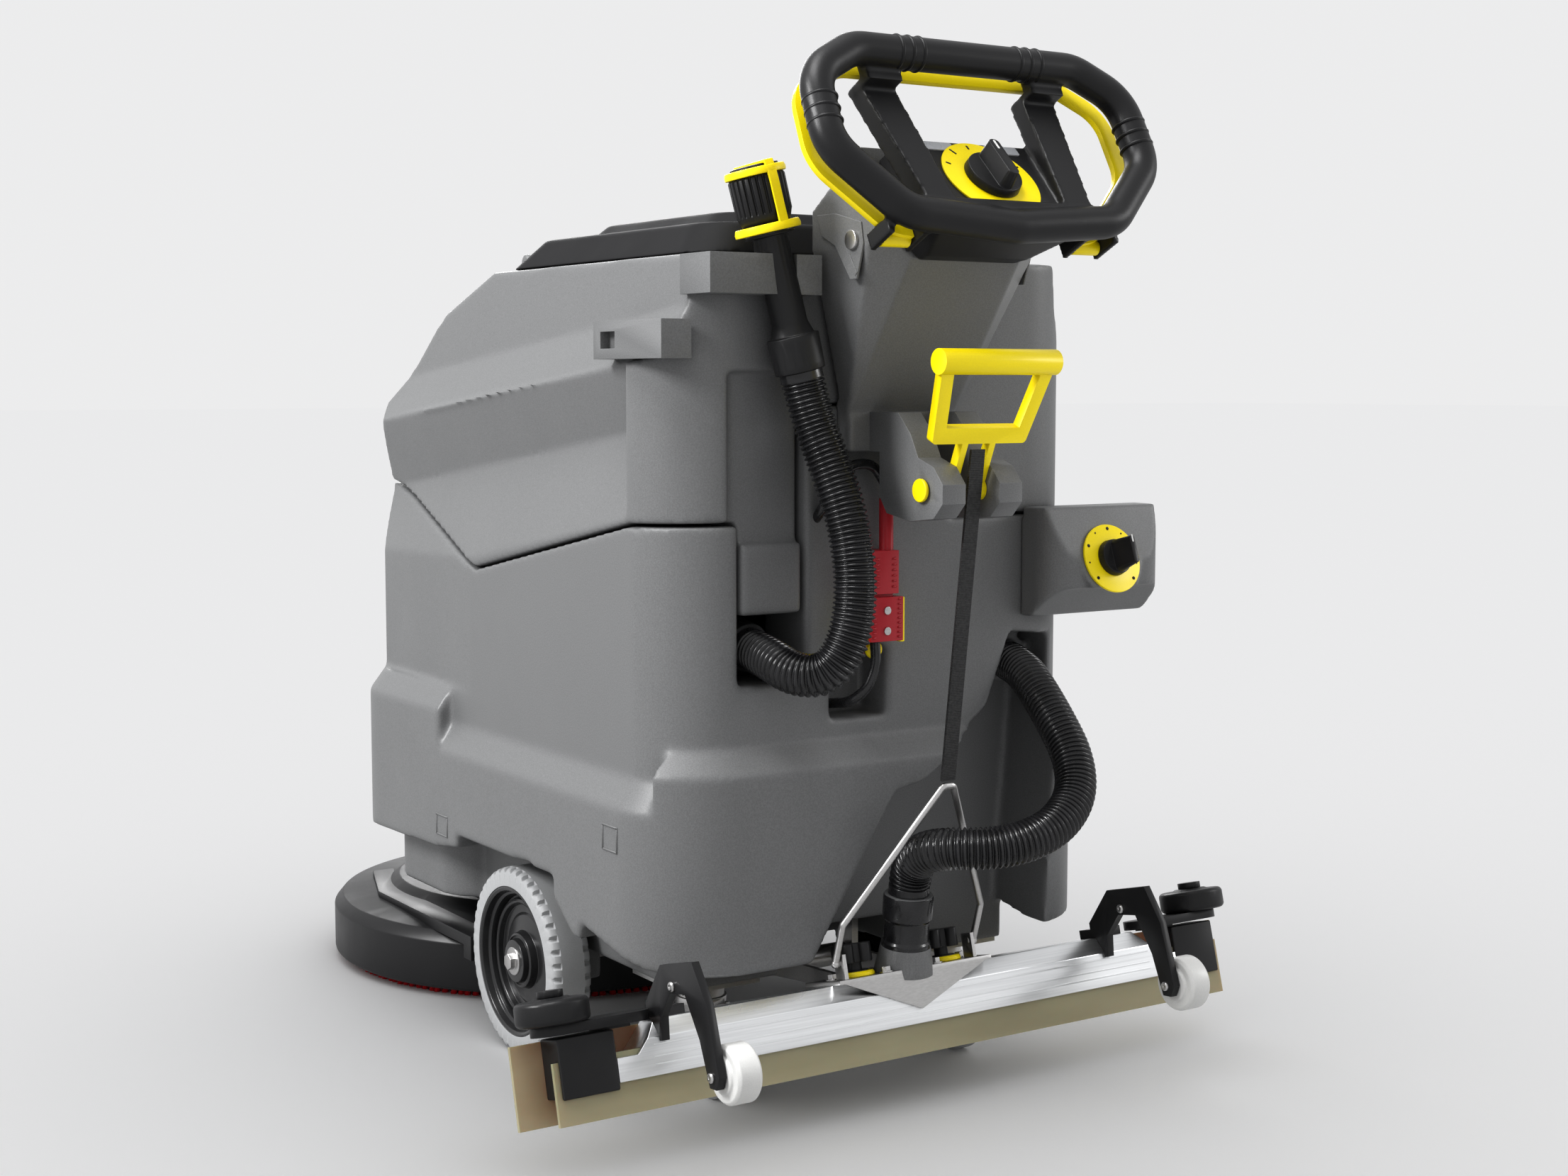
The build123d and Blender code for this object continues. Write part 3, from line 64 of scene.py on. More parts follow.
scene = bpy.context.scene
scene.view_settings.view_transform = "Standard"
scene.view_settings.gamma = 0.8
camera_data = bpy.data.cameras.new("camera")
camera_data.sensor_fit = "HORIZONTAL"
camera_data.sensor_width = 36.0
camera_data.lens = 49.96
camera = bpy.data.objects.new("camera", camera_data)
camera.location = CAMERA_AT
camera.rotation_euler = (math.radians(90 - CAMERA_DIP), 0, math.radians(-CAMERA_TURN))
scene.collection.objects.link(camera)
scene.camera = camera

unlit = bpy.data.collections.new("lit_by_the_room_only")  # holds the floor


def area_light(name, place, aim, size, power):
    """A soft square light aimed at a point, which leaves the floor to the room's own light."""
    data = bpy.data.lights.new(name, "AREA")
    data.shape = "SQUARE"
    data.size = size
    data.energy = power
    light = bpy.data.objects.new(name, data)
    light.location = place
    light.rotation_euler = (Vector(aim) - Vector(place)).to_track_quat("-Z", "Y").to_euler()
    light.light_linking.receiver_collection = unlit
    scene.collection.objects.link(light)


area_light("key", (-3.3, 0.2, 2.7), (0, 0, 0.5), 1.2, 150)
area_light("top", (-0.9, -0.4, 3.4), (0, 0, 0.6), 1.4, 70)
area_light("right", (2.9, -1.9, 1.7), (0, -0.4, 0.5), 1.0, 26)
area_light("back", (1.2, 3.0, 2.0), (0, 0, 0.5), 1.6, 60)

ROOM = 0.87
world = bpy.data.worlds.new("studio")
world.use_nodes = True
world.node_tree.nodes["Background"].inputs["Color"].default_value = (ROOM, ROOM, ROOM * 1.005, 1)
world.node_tree.nodes["Background"].inputs["Strength"].default_value = 1.0
scene.world = world


# ---------------------------------------------------------------- materials
class Recipe:
    """Small helper that wires a Principled material node by node."""

    def __init__(self, name, colour, rough, metal=0.0):
        self.material = bpy.data.materials.new(name)
        self.material.use_nodes = True
        self.tree = self.material.node_tree
        self.shader = self.tree.nodes["Principled BSDF"]
        self.shader.inputs["Base Color"].default_value = (*colour, 1)
        self.shader.inputs["Roughness"].default_value = rough
        self.shader.inputs["Metallic"].default_value = metal
        self.coords = self.tree.nodes.new("ShaderNodeTexCoord").outputs["Object"]
        self.height = None

    def link(self, source, target):
        self.tree.links.new(source, target)

    def noise(self, scale, detail=3.0, stretch=(1, 1, 1)):
        """Noise in object space, optionally stretched along an axis."""
        mapping = self.tree.nodes.new("ShaderNodeMapping")
        mapping.inputs["Scale"].default_value = stretch
        self.link(self.coords, mapping.inputs["Vector"])
        node = self.tree.nodes.new("ShaderNodeTexNoise")
        node.inputs["Scale"].default_value = scale
        node.inputs["Detail"].default_value = detail
        self.link(mapping.outputs["Vector"], node.inputs["Vector"])
        return node.outputs["Fac"]

    def spread(self, value, low, high, socket, near=0.35, far=0.65):
        """Maps a noise value to a range on one of the shader's sockets."""
        node = self.tree.nodes.new("ShaderNodeMapRange")
        node.inputs["From Min"].default_value = near
        node.inputs["From Max"].default_value = far
        node.inputs["To Min"].default_value = low
        node.inputs["To Max"].default_value = high
        self.link(value, node.inputs["Value"])
        self.link(node.outputs["Result"], self.shader.inputs[socket])

    def tint(self, value, dark, light, near=0.35, far=0.65):
        """Colours the surface between two tones by a noise value."""
        ramp = self.tree.nodes.new("ShaderNodeValToRGB")
        ramp.color_ramp.elements[0].position = near
        ramp.color_ramp.elements[0].color = (*dark, 1)
        ramp.color_ramp.elements[1].position = far
        ramp.color_ramp.elements[1].color = (*light, 1)
        self.link(value, ramp.inputs["Fac"])
        self.link(ramp.outputs["Color"], self.shader.inputs["Base Color"])

    def bump(self, value, depth, strength=1.0):
        """Adds relief of a given depth in metres on top of what is there."""
        node = self.tree.nodes.new("ShaderNodeBump")
        node.inputs["Strength"].default_value = strength
        node.inputs["Distance"].default_value = depth
        self.link(value, node.inputs["Height"])
        if self.height is not None:
            self.link(self.height, node.inputs["Normal"])
        self.height = node.outputs["Normal"]
        self.link(self.height, self.shader.inputs["Normal"])

    def set(self, **values):
        """Sets plain numbers on the shader's sockets."""
        for socket, value in values.items():
            self.shader.inputs[socket.replace("_", " ")].default_value = value
        return self.material


def shade(colour, factor):
    """A colour made darker or lighter."""
    return tuple(min(1.0, c * factor) for c in colour)


def plastic(name, colour, rough, grain=900.0, depth=0.00012, coat=0.0, specular=0.5, speckle=0.03):
    """Moulded plastic: fine grain and speckle, slow changes of tone and polish."""
    recipe = Recipe(name, colour, rough)
    recipe.tint(recipe.noise(grain or 900, 2), shade(colour, 1 - speckle), shade(colour, 1 + speckle))
    recipe.spread(recipe.noise(9, 4), rough - 0.05, rough + 0.05, "Roughness")
    if depth:
        recipe.bump(recipe.noise(grain, 2), depth, 0.5)
    return recipe.set(Coat_Weight=coat, Coat_Roughness=0.2, Specular_IOR_Level=specular)


def brushed(name, colour, rough, stretch, scale=900):
    """Metal with fine lines along one axis and soft patches of tone."""
    recipe = Recipe(name, colour, rough, 1.0)
    lines = recipe.noise(scale, 3, stretch)
    recipe.tint(lines, shade(colour, 0.93), shade(colour, 1.03))
    recipe.spread(recipe.noise(5, 3, (1, 5, 5)), rough - 0.05, rough + 0.07, "Roughness")
    return recipe.material


def ribbed_rubber(name, colour, rough):
    """Glossy hose plastic with a little dust in its tone."""
    recipe = Recipe(name, colour, rough)
    recipe.tint(recipe.noise(60, 4), colour, shade(colour, 2.0))
    recipe.spread(recipe.noise(90, 3), rough - 0.06, rough + 0.12, "Roughness")
    return recipe.set(Coat_Weight=0.35, Coat_Roughness=0.15)


def blade_material():
    """Cloudy tan polyurethane."""
    recipe = Recipe("blade", (0.39, 0.355, 0.235), 0.35)
    recipe.tint(recipe.noise(6, 3, (1, 4, 4)), (0.36, 0.33, 0.215), (0.42, 0.385, 0.26))
    recipe.spread(recipe.noise(40, 3), 0.3, 0.42, "Roughness")
    return recipe.set(Transmission_Weight=0.18, IOR=1.45, Subsurface_Weight=0.2)


def webbing_material():
    """Black woven strap: fine cross threads."""
    recipe = Recipe("webbing", (0.012, 0.012, 0.013), 0.62)
    wave = recipe.tree.nodes.new("ShaderNodeTexWave")
    wave.bands_direction = "Z"
    wave.inputs["Scale"].default_value = 190
    wave.inputs["Distortion"].default_value = 1.0
    recipe.link(recipe.coords, wave.inputs["Vector"])
    recipe.bump(wave.outputs["Fac"], 0.0005, 0.8)
    recipe.tint(recipe.noise(400, 2), (0.008, 0.008, 0.009), (0.03, 0.03, 0.03))
    return recipe.set(Sheen_Weight=0.2)


GREY = (0.165, 0.167, 0.169)
YELLOW = (0.90, 0.74, 0.004)
MATERIALS = {
    "shell": plastic("shell", GREY, 0.44, 800, 0.00018, speckle=0.10),
    "black_plastic": plastic("black_plastic", (0.016, 0.016, 0.017), 0.4, 1100, 0.00012, specular=0.4),
    "yellow": plastic("yellow", YELLOW, 0.36, 1200, 0.00004),
    "red": plastic("red", (0.42, 0.018, 0.03), 0.38, 1200, 0.00006),
    "hose": ribbed_rubber("hose", (0.010, 0.010, 0.011), 0.24),
    "tyre": plastic("tyre", (0.38, 0.385, 0.39), 0.6, 800, 0.0002),
    "white_plastic": plastic("white_plastic", (0.62, 0.62, 0.61), 0.35, 1200, 0.00004),
    "aluminium": brushed("aluminium", (0.82, 0.83, 0.84), 0.3, (0.015, 1, 1), 500),
    "steel": brushed("steel", (0.58, 0.575, 0.57), 0.33, (0.2, 1, 1)),
    "blade": blade_material(),
    "bristle": plastic("bristle", (0.50, 0.006, 0.012), 0.4, 1500, 0.0001, speckle=0.3),
    "battery": plastic("battery", (0.05, 0.05, 0.055), 0.5),
    "display": plastic("display", (0.42, 0.43, 0.45), 0.25, 0, 0, 0.4),
    "webbing": webbing_material(),
}
RIM_FINISH = plastic("rim", (0.022, 0.022, 0.023), 0.22, 0, 0, 0.3)
LID_FINISH = plastic("lid", (0.020, 0.020, 0.021), 0.62, 1000, 0.00015, specular=0.15)
for entry in frame["record"]["subparts"]:
    node = NODES[entry["node"]]
    node.data.materials.clear()
    node.data.materials.append(MATERIALS[entry["material_slot"]])


# ---------------------------------------------------------------- mesh helpers
def new_piece(name, vertices, faces, body, slot, smooth=True):
    """A mesh object that rides on a body and takes a slot's material."""
    mesh = bpy.data.meshes.new(name)
    mesh.from_pydata([tuple(v) for v in vertices], [], faces)
    mesh.validate()
    if smooth:
        mesh.shade_smooth()
    piece = bpy.data.objects.new(name, mesh)
    scene.collection.objects.link(piece)
    mesh.materials.append(MATERIALS[slot])
    if body:
        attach(piece, body)
    return piece


def apply_modifiers(piece):
    """Bakes a piece's modifiers into its mesh."""
    graph = bpy.context.evaluated_depsgraph_get()
    mesh = bpy.data.meshes.new_from_object(piece.evaluated_get(graph))
    piece.modifiers.clear()
    piece.data = mesh


LEDGE_X = 0.2378  # how far out the shoulder ledge may stand, forward of the middle
LEDGE_LOW, LEDGE_TOP = 0.640, 0.700


def thin_ledge(mesh):
    """Draws the tank's shoulder ledge in towards the front, where it thins out to nothing."""
    for vertex in mesh.vertices:
        x, y, z = vertex.co
        if y > 0 and LEDGE_LOW < z < LEDGE_TOP and abs(x) > LEDGE_X:
            vertex.co.x = math.copysign(LEDGE_X, x)


def soft_shell(node, body, slot, voxel, passes, ratio=1.0):
    """A copy of a CAD shell with moulded, rounded edges and flat faces, which replaces it."""
    piece = bpy.data.objects.new(node + "_skin", NODES[node].data.copy())
    scene.collection.objects.link(piece)
    if node == "recovery_tank":
        thin_ledge(piece.data)
    remesh = piece.modifiers.new("remesh", "REMESH")
    remesh.mode = "VOXEL"
    remesh.voxel_size = voxel
    smooth = piece.modifiers.new("smooth", "SMOOTH")
    smooth.iterations = passes
    smooth.factor = 0.5
    if ratio < 1:
        reduce = piece.modifiers.new("reduce", "DECIMATE")
        reduce.ratio = ratio
    apply_modifiers(piece)
    piece.data.shade_smooth()
    flat = piece.modifiers.new("flat_faces", "WEIGHTED_NORMAL")
    flat.weight = 60
    piece.data.materials.clear()
    piece.data.materials.append(MATERIALS[slot])
    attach(piece, body)
    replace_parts(piece, node)
    return piece


def crisp(node, width, segments=2):
    """Gives a CAD node's sharp edges a small moulded radius, by modifiers alone."""
    piece = NODES[node]
    weld = piece.modifiers.new("weld", "WELD")
    weld.merge_threshold = 1e-5
    plain = piece.modifiers.new("plain", "DECIMATE")
    plain.decimate_type = "DISSOLVE"
    plain.angle_limit = math.radians(0.6)
    edge = piece.modifiers.new("edge", "BEVEL")
    edge.width = width
    edge.segments = segments
    edge.angle_limit = math.radians(32)
    edge.harden_normals = True
    piece.data.shade_smooth()


def here(point):
    """A point of the drawing, in millimetres, as metres in the row's frame."""
    return Vector((point[0], point[1] + DATUM_Y, point[2])) * MM


def route(points):
    """Points along the smooth line of a route's NURBS spline."""
    curve = bpy.data.curves.new("route", "CURVE")
    curve.dimensions = "3D"
    spline = curve.splines.new("NURBS")
    spline.points.add(len(points) - 1)
    for place, point in zip(spline.points, points):
        place.co = (*here(point), 1)
    spline.order_u = 3
    spline.use_endpoint_u = True
    spline.resolution_u = 24
    holder = bpy.data.objects.new("route", curve)
    scene.collection.objects.link(holder)
    graph = bpy.context.evaluated_depsgraph_get()
    graph.update()
    mesh = bpy.data.meshes.new_from_object(holder.evaluated_get(graph))
    path = np.array([v.co[:] for v in mesh.vertices])
    bpy.data.objects.remove(holder)
    return path


def even_steps(path, step):
    """The same line with points a given step apart."""
    gaps = np.linalg.norm(np.diff(path, axis=0), axis=1)
    run = np.concatenate([[0], np.cumsum(gaps)])
    count = max(2, int(round(run[-1] / step)) + 1)
    at = np.linspace(0, run[-1], count)
    return np.stack([np.interp(at, run, path[:, k]) for k in range(3)], axis=1), run[-1]


def skin_along(path, radii, sides, capped=True):
    """Vertices and faces of a tube that follows a line, its radius given at each point."""
    ahead = np.gradient(path, axis=0)
    ahead /= np.linalg.norm(ahead, axis=1)[:, None]
    side = np.cross(ahead[0], [0.3, 0.2, 0.9])
    side /= np.linalg.norm(side)
    vertices = []
    for point, way, radius in zip(path, ahead, radii):
        side = side - way * side.dot(way)
        side /= np.linalg.norm(side)
        other = np.cross(way, side)
        for k in range(sides):
            turn = 2 * math.pi * k / sides
            vertices.append(point + radius * (math.cos(turn) * side + math.sin(turn) * other))
    faces = []
    for row in range(len(path) - 1):
        for k in range(sides):
            a, b = row * sides + k, row * sides + (k + 1) % sides
            faces.append((a, b, b + sides, a + sides))
    if capped:
        faces.append(tuple(reversed(range(sides))))
        faces.append(tuple(range((len(path) - 1) * sides, len(path) * sides)))
    return vertices, faces


def turned(outline, segments, plane):
    """Vertices and faces of a closed outline of (radius, height) turned round a matrix's Z axis."""
    vertices, faces = [], []
    count = len(outline)
    for step in range(segments):
        turn = 2 * math.pi * step / segments
        for radius, height in outline:
            vertices.append(plane @ Vector((radius * math.cos(turn), radius * math.sin(turn), height)))
    for step in range(segments):
        for k in range(count):
            a, b = step * count + k, step * count + (k + 1) % count
            c, d = (a + count) % (segments * count), (b + count) % (segments * count)
            faces.append((a, b, d, c))
    return vertices, faces


def plane_at(place, normal, along=(1, 0, 0)):
    """A matrix with its origin at a place in drawing millimetres, its Z axis along normal, X near along."""
    z = Vector(normal).normalized()
    x = Vector(along)
    x = (x - z * x.dot(z)).normalized()
    y = z.cross(x)
    matrix = Matrix((x, y, z)).transposed().to_4x4()
    matrix.translation = here(place)
    return matrix


# ---------------------------------------------------------------- hoses
HOSE_SUCTION = [  # route of the suction hose, from the shell to the squeegee's spigot
    (182, -368, 424), (180, -398, 418), (173, -430, 402), (168, -466, 374), (165, -500, 340),
    (150, -524, 308), (118, -538, 285), (80, -541, 272), (42, -530, 266), (6, -506, 266),
    (-3, -474, 258), (0, -450.3, 235.7), (0, -448.1, 211.7),
]
HOSE_DRAIN = [  # route of the drain hose, from the tank's outlet to its cuff
    (-146, -384, 458), (-145, -420, 452), (-138, -454, 438), (-116, -480, 440), (-97, -488, 476),
    (-90, -486, 530), (-94, -476, 586), (-104, -460, 638), (-115, -444.8, 683), (-124, -442, 722),
]
RIB_PITCH = 5.2 * MM
RIB_HIGH, RIB_LOW = 20.8 * MM, 17.6 * MM
CUFF = 9 * MM


def corrugated(name, points, node):
    """A hose with round ribs and plain ends, following its route's spline."""
    line = route(points)
    path, length = even_steps(line, RIB_PITCH / 8)
    at = np.linspace(0, length, len(path))
    wave = 0.5 - 0.5 * np.cos(2 * math.pi * at / RIB_PITCH)
    radii = RIB_LOW + (RIB_HIGH - RIB_LOW) * wave ** 0.7
    plain = (at < CUFF) | (at > length - CUFF)
    radii[plain] = RIB_HIGH - 0.4 * MM
    vertices, faces = skin_along(path, radii, 40)
    hose = new_piece(name, vertices, faces, None, "hose")
    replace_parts(hose, node)
    return hose


suction_hose = corrugated("suction_hose_skin", HOSE_SUCTION, "suction_hose")
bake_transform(suction_hose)
drain_hose = corrugated("drain_hose_skin", HOSE_DRAIN, "drain_hose")
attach(drain_hose, "recovery_tank")

# ---------------------------------------------------------------- moulded shells
HOUSING_DETAIL, TANK_DETAIL = (((0.0032, 7), (0.0027, 10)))
soft_shell("lower_housing", "chassis", "shell", *HOUSING_DETAIL, 0.4)
soft_shell("recovery_tank", "recovery_tank", "shell", *TANK_DETAIL, 0.3)
lid = soft_shell("tank_lid", "tank_lid", "black_plastic", 0.003, 4, 0.5)
lid.data.materials[0] = LID_FINISH
soft_shell("handle_neck", "chassis", "shell", 0.0025, 3, 0.6)
soft_shell("dosing_housing", "chassis", "shell", 0.0022, 5, 0.8)
soft_shell("handle_loop", "chassis", "black_plastic", 0.002, 3, 0.8)
for node, width in (
    ("lever_bracket", 2.0), ("lift_lever", 2.0), ("tank_clips", 2.5), ("drive_bail", 1.2), ("battery_connector", 1.0),
    ("connector_guards", 0.8), ("end_caps", 1.5), ("squeegee_brackets", 1.0), ("yoke_plate", 0.8),
    ("squeegee_bar", 0.8), ("star_knobs", 1.2), ("control_knob", 2.0), ("dosing_knob", 2.0), ("deck_arms", 2.0),
    ("fasteners", 0.6), ("lever_pins", 1.0), ("dial_plate", 0.5), ("dosing_ring", 0.6), ("brush_deck", 2.0),
    ("drain_fittings", 1.2), ("suction_spigot", 1.2), ("brush_motor", 2.0),
    ("left_caster_fork", 0.8), ("right_caster_fork", 0.8), ("left_roller", 1.0), ("right_roller", 1.0),
    ("left_deflector", 1.5), ("right_deflector", 1.5),
):
    crisp(node, width * MM)


# ---------------------------------------------------------------- detail helpers
def tidy_normals(piece):
    """Turns a piece's faces outwards."""
    mesh = bmesh.new()
    mesh.from_mesh(piece.data)
    bmesh.ops.recalc_face_normals(mesh, faces=mesh.faces)
    mesh.to_mesh(piece.data)
    mesh.free()


def soft_edges(piece, width, angle=30):
    """Small rounded edges on a hard piece."""
    edge = piece.modifiers.new("edge", "BEVEL")
    edge.width = width * MM
    edge.segments = 2
    edge.angle_limit = math.radians(angle)
    edge.harden_normals = True


def lathe(name, outline, plane, body, slot, segments=96, width=0.6):
    """A turned piece from a closed outline of (radius, height) in millimetres."""
    vertices, faces = turned([(r * MM, h * MM) for r, h in outline], segments, plane)
    piece = new_piece(name, vertices, faces, body, slot)
    tidy_normals(piece)
    if width:
        soft_edges(piece, width, 24)
    return piece


def prism(name, outline, low, high, plane, body, slot, width=0.5):
    """A flat piece from an outline in a plane, in millimetres."""
    count = len(outline)
    vertices = [plane @ Vector((x * MM, y * MM, h * MM)) for h in (low, high) for x, y in outline]
    faces = [tuple(reversed(range(count))), tuple(range(count, 2 * count))]
    faces += [(k, (k + 1) % count, (k + 1) % count + count, k + count) for k in range(count)]
    piece = new_piece(name, vertices, faces, body, slot)
    tidy_normals(piece)
    if width:
        soft_edges(piece, width)
    return piece


def joined(name, pieces):
    """Several small pieces as one, riding where the first one rides."""
    graph = bpy.context.evaluated_depsgraph_get()
    whole = bmesh.new()
    for piece in pieces:
        whole.from_object(piece, graph)
    pieces[0].modifiers.clear()
    whole.to_mesh(pieces[0].data)
    whole.free()
    pieces[0].name = name
    for piece in pieces[1:]:
        bpy.data.objects.remove(piece)
    pieces[0].data.shade_smooth()
    return pieces[0]


def rounded(half_x, half_y, radius, steps=5, centre=(0, 0)):
    """Corners of a rounded rectangle."""
    points = []
    for k, (sx, sy) in enumerate(((1, 1), (-1, 1), (-1, -1), (1, -1))):
        for step in range(steps + 1):
            turn = math.pi / 2 * (k + step / steps)
            points.append((
                centre[0] + sx * (half_x - radius) + radius * math.cos(turn),
                centre[1] + sy * (half_y - radius) + radius * math.sin(turn),
            ))
    return points


def ring(radius, count, centre=(0, 0)):
    """Corners of a regular polygon."""
    turns = (2 * math.pi * k / count for k in range(count))
    return [(centre[0] + radius * math.cos(t), centre[1] + radius * math.sin(t)) for t in turns]


def tilted(origin, tilt):
    """The plane across the machine that faces the operator, tilt degrees above the horizontal."""
    return plane_at(origin, (0, -math.sin(math.radians(tilt)), math.cos(math.radians(tilt))))


def at_point(plane, x, y, n):
    """A point of a plane in the drawing's millimetres."""
    place = plane @ Vector((x * MM, y * MM, n * MM)) / MM
    return (place.x, place.y - DATUM_Y, place.z)


# ---------------------------------------------------------------- drive wheels
WHEEL_OUT, WHEEL_W, WHEEL_Y, WHEEL_R = 258.0, 45.0, -89.0, 100.0
RIM_FACE = [
    (11, -20), (24, -20), (24, -7), (64, -1), (64, -20), (80.2, -20), (80.2, 21.6), (78, 22.4), (75, 21),
    (73.5, 14), (70.5, 12.5), (69, 4), (66.5, 3.5), (65, 9), (62, 10.2), (60, 9), (58.5, 3), (50, 2),
    (47, 4), (31, 6), (29, 14), (26.5, 15), (25.5, 12.5), (23.5, 13), (22.5, 19.5), (15, 20), (11, 20),
]
LUGS, LUG_STEPS = 44, 6


def toothed_tyre(name, plane, body):
    """Light tyre whose tread has a row of lugs along each shoulder."""
    half = WHEEL_W / 2
    outline = [
        (80, -half), (93, -half), (97, 1.4 - half), (99, 4 - half), (100, 9 - half), (100, 9.5 - half),
        (100, half - 9.5), (100, half - 9), (99, half - 4), (97, half - 1.4), (93, half), (80, half),
    ]
    groove = {2: 94.5, 3: 95.5, 4: 96.4, 7: 96.4, 8: 95.5, 9: 94.5}
    vertices, faces = turned([(r * MM, h * MM) for r, h in outline], LUGS * LUG_STEPS, plane)
    count = len(outline)
    middle = plane.translation
    axis = plane.col[2].to_3d()
    for step in range(LUGS * LUG_STEPS):
        if step % LUG_STEPS < 2:
            for k, low in groove.items():
                point = vertices[step * count + k]
                along = axis * (point - middle).dot(axis)
                out = point - middle - along
                vertices[step * count + k] = middle + along + out.normalized() * low * MM
    piece = new_piece(name, vertices, faces, body, "tyre")
    tidy_normals(piece)
    soft_edges(piece, 0.5, 40)
    return piece


for name, side in (("left", -1), ("right", 1)):
    wheel = plane_at((side * (WHEEL_OUT - WHEEL_W / 2), WHEEL_Y, WHEEL_R), (side, 0, 0), (0, 1, 0))
    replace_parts(toothed_tyre(name + "_tyre_tread", wheel, name + "_wheel"), name + "_tyre")
    dish = lathe(name + "_rim_dish", RIM_FACE, wheel, name + "_wheel", "black_plastic", 128)
    dish.data.materials[0] = RIM_FINISH
    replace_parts(dish, name + "_rim")

# ---------------------------------------------------------------- brush
DECK_Y = 305.0
TUFT_ROWS = (104, 128, 152, 176, 198, 218, 236, 247)
TUFT_SIDES = 7
dice = random.Random(7)
vertices, faces = [], []
for row in TUFT_ROWS:
    tufts = int(2 * math.pi * row / (9.5 if row > 230 else 15))
    for k in range(tufts):
        turn = 2 * math.pi * (k + dice.random() * 0.3) / tufts
        lean = (12 if row > 240 else 2.5) + 3 * dice.random()
        first = len(vertices)
        for radius, high, thick in ((row, 46.5, 2.6), (row + lean * 0.3, 22, 3.2), (row + lean, 0.6, 4.0)):
            x, y = radius * math.cos(turn), DECK_Y + radius * math.sin(turn)
            for j in range(TUFT_SIDES):
                spin = 2 * math.pi * j / TUFT_SIDES
                vertices.append(here((x + thick * math.cos(spin), y + thick * math.sin(spin), high)))
        for level in range(2):
            for j in range(TUFT_SIDES):
                a = first + level * TUFT_SIDES + j
                b = first + level * TUFT_SIDES + (j + 1) % TUFT_SIDES
                faces.append((a, a + TUFT_SIDES, b + TUFT_SIDES, b))
        faces.append(tuple(range(first, first + TUFT_SIDES)))
        faces.append(tuple(reversed(range(first + 2 * TUFT_SIDES, first + 3 * TUFT_SIDES))))
bristles = new_piece("brush_tufts", vertices, faces, "brush", "bristle")
tidy_normals(bristles)
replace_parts(bristles, "brush_bristles")

# ---------------------------------------------------------------- handle and its controls
HANDLE = tilted((0, -566, 930), 64)
PANEL = tilted(at_point(HANDLE, 0, -32, -14), 44)
DOSING = plane_at((238, -462, 530), (0, -0.94, 0.34))
RIM_R = 15.5
for name, centres, along in (
    ("left_grip_ribs", [(-179.6 + 0.057 * s, s) for s in (5, 17, 29)], (0.057, 0.998)),
    ("right_grip_ribs", [(179.6 - 0.057 * s, s) for s in (5, 17, 29)], (-0.057, 0.998)),
    ("upper_grip_ribs", [(s, 86.5) for s in (-80, -68, -56, 56, 68, 80)], (1, 0)),
):
    ribs = []
    way = (HANDLE.to_3x3() @ Vector((*along, 0))).normalized()
    for x, v in centres:
        plane = plane_at(at_point(HANDLE, x, v, 0), way, (0.3, 0.2, 0.9))
        ribs.append(lathe("rib", ring(1.9, 8, (RIM_R - 0.8, 0)), plane, "chassis", "black_plastic", 40, 0))
    joined(name, ribs)

marks = []
for degrees, length in ((125, 8), (95, 5), (60, 5), (25, 5), (155, 5), (-90, 0)):
    turn = math.radians(degrees)
    middle = (43.5 * math.cos(turn), 43.5 * math.sin(turn))
    if length:
        radial = [(math.cos(turn), math.sin(turn)), (-math.sin(turn), math.cos(turn))]
        box = [(length / 2, 0.9), (-length / 2, 0.9), (-length / 2, -0.9), (length / 2, -0.9)]
    else:
        radial = [(1, 0), (0, 1)]
        box = [(9, 1.4), (-9, 1.4), (-9, -1.4), (9, -1.4)]
    outline = [
        (middle[0] + a * radial[0][0] + b * radial[1][0], middle[1] + a * radial[0][1] + b * radial[1][1])
        for a, b in box
    ]
    marks.append(prism("mark", outline, 1.8, 2.3, PANEL, "chassis", "black_plastic", 0))
joined("dial_marks", marks)
prism("knob_pointer", rounded(1.1, 6, 1, 3, (0, 16)), 27, 28.5, PANEL, "control_knob", "white_plastic", 0.2)
prism("dosing_pointer", rounded(1.0, 4, 0.9, 3, (0, 11)), 45, 46.5, DOSING, "dosing_knob", "white_plastic", 0.2)
ticks = []
for k in range(9):
    turn = math.radians(-45 + 33 * k)
    place = (31.5 * math.cos(turn), 31.5 * math.sin(turn))
    ticks.append(prism(
        "tick", rounded(0.9, 0.9, 0.8, 2, place) if k % 2 else rounded(1.7, 1.7, 1.6, 3, place),
        10.8, 11.3, DOSING, "chassis", "black_plastic", 0,
    ))
joined("dosing_marks", ticks)

# tab with a groove on each side of the neck
TAB = [(-432, 868), (-462, 868), (-504, 858), (-508, 838), (-497, 806), (-487, 806), (-462, 838), (-440, 848)]
TAB_GROOVE = [(-499, 812), (-496, 809), (-484, 828), (-487, 830)]


def on_flank(flank, points):
    """Points (y, z) of the drawing, as points of a plane on the machine's side."""
    local = [flank.inverted() @ here((0, y, z)) for y, z in points]
    return [(point.x / MM, point.y / MM) for point in local]


for name, side in (("left", -1), ("right", 1)):
    flank = plane_at((side * 98, 0, 0), (side, 0, 0), (0, 1, 0))
    prism(name + "_neck_tab", on_flank(flank, TAB), -1, 1.6, flank, "chassis", "shell", 0.8)
    prism(name + "_tab_groove", on_flank(flank, TAB_GROOVE), 1, 2.4, flank, "chassis", "shell", 0.5)

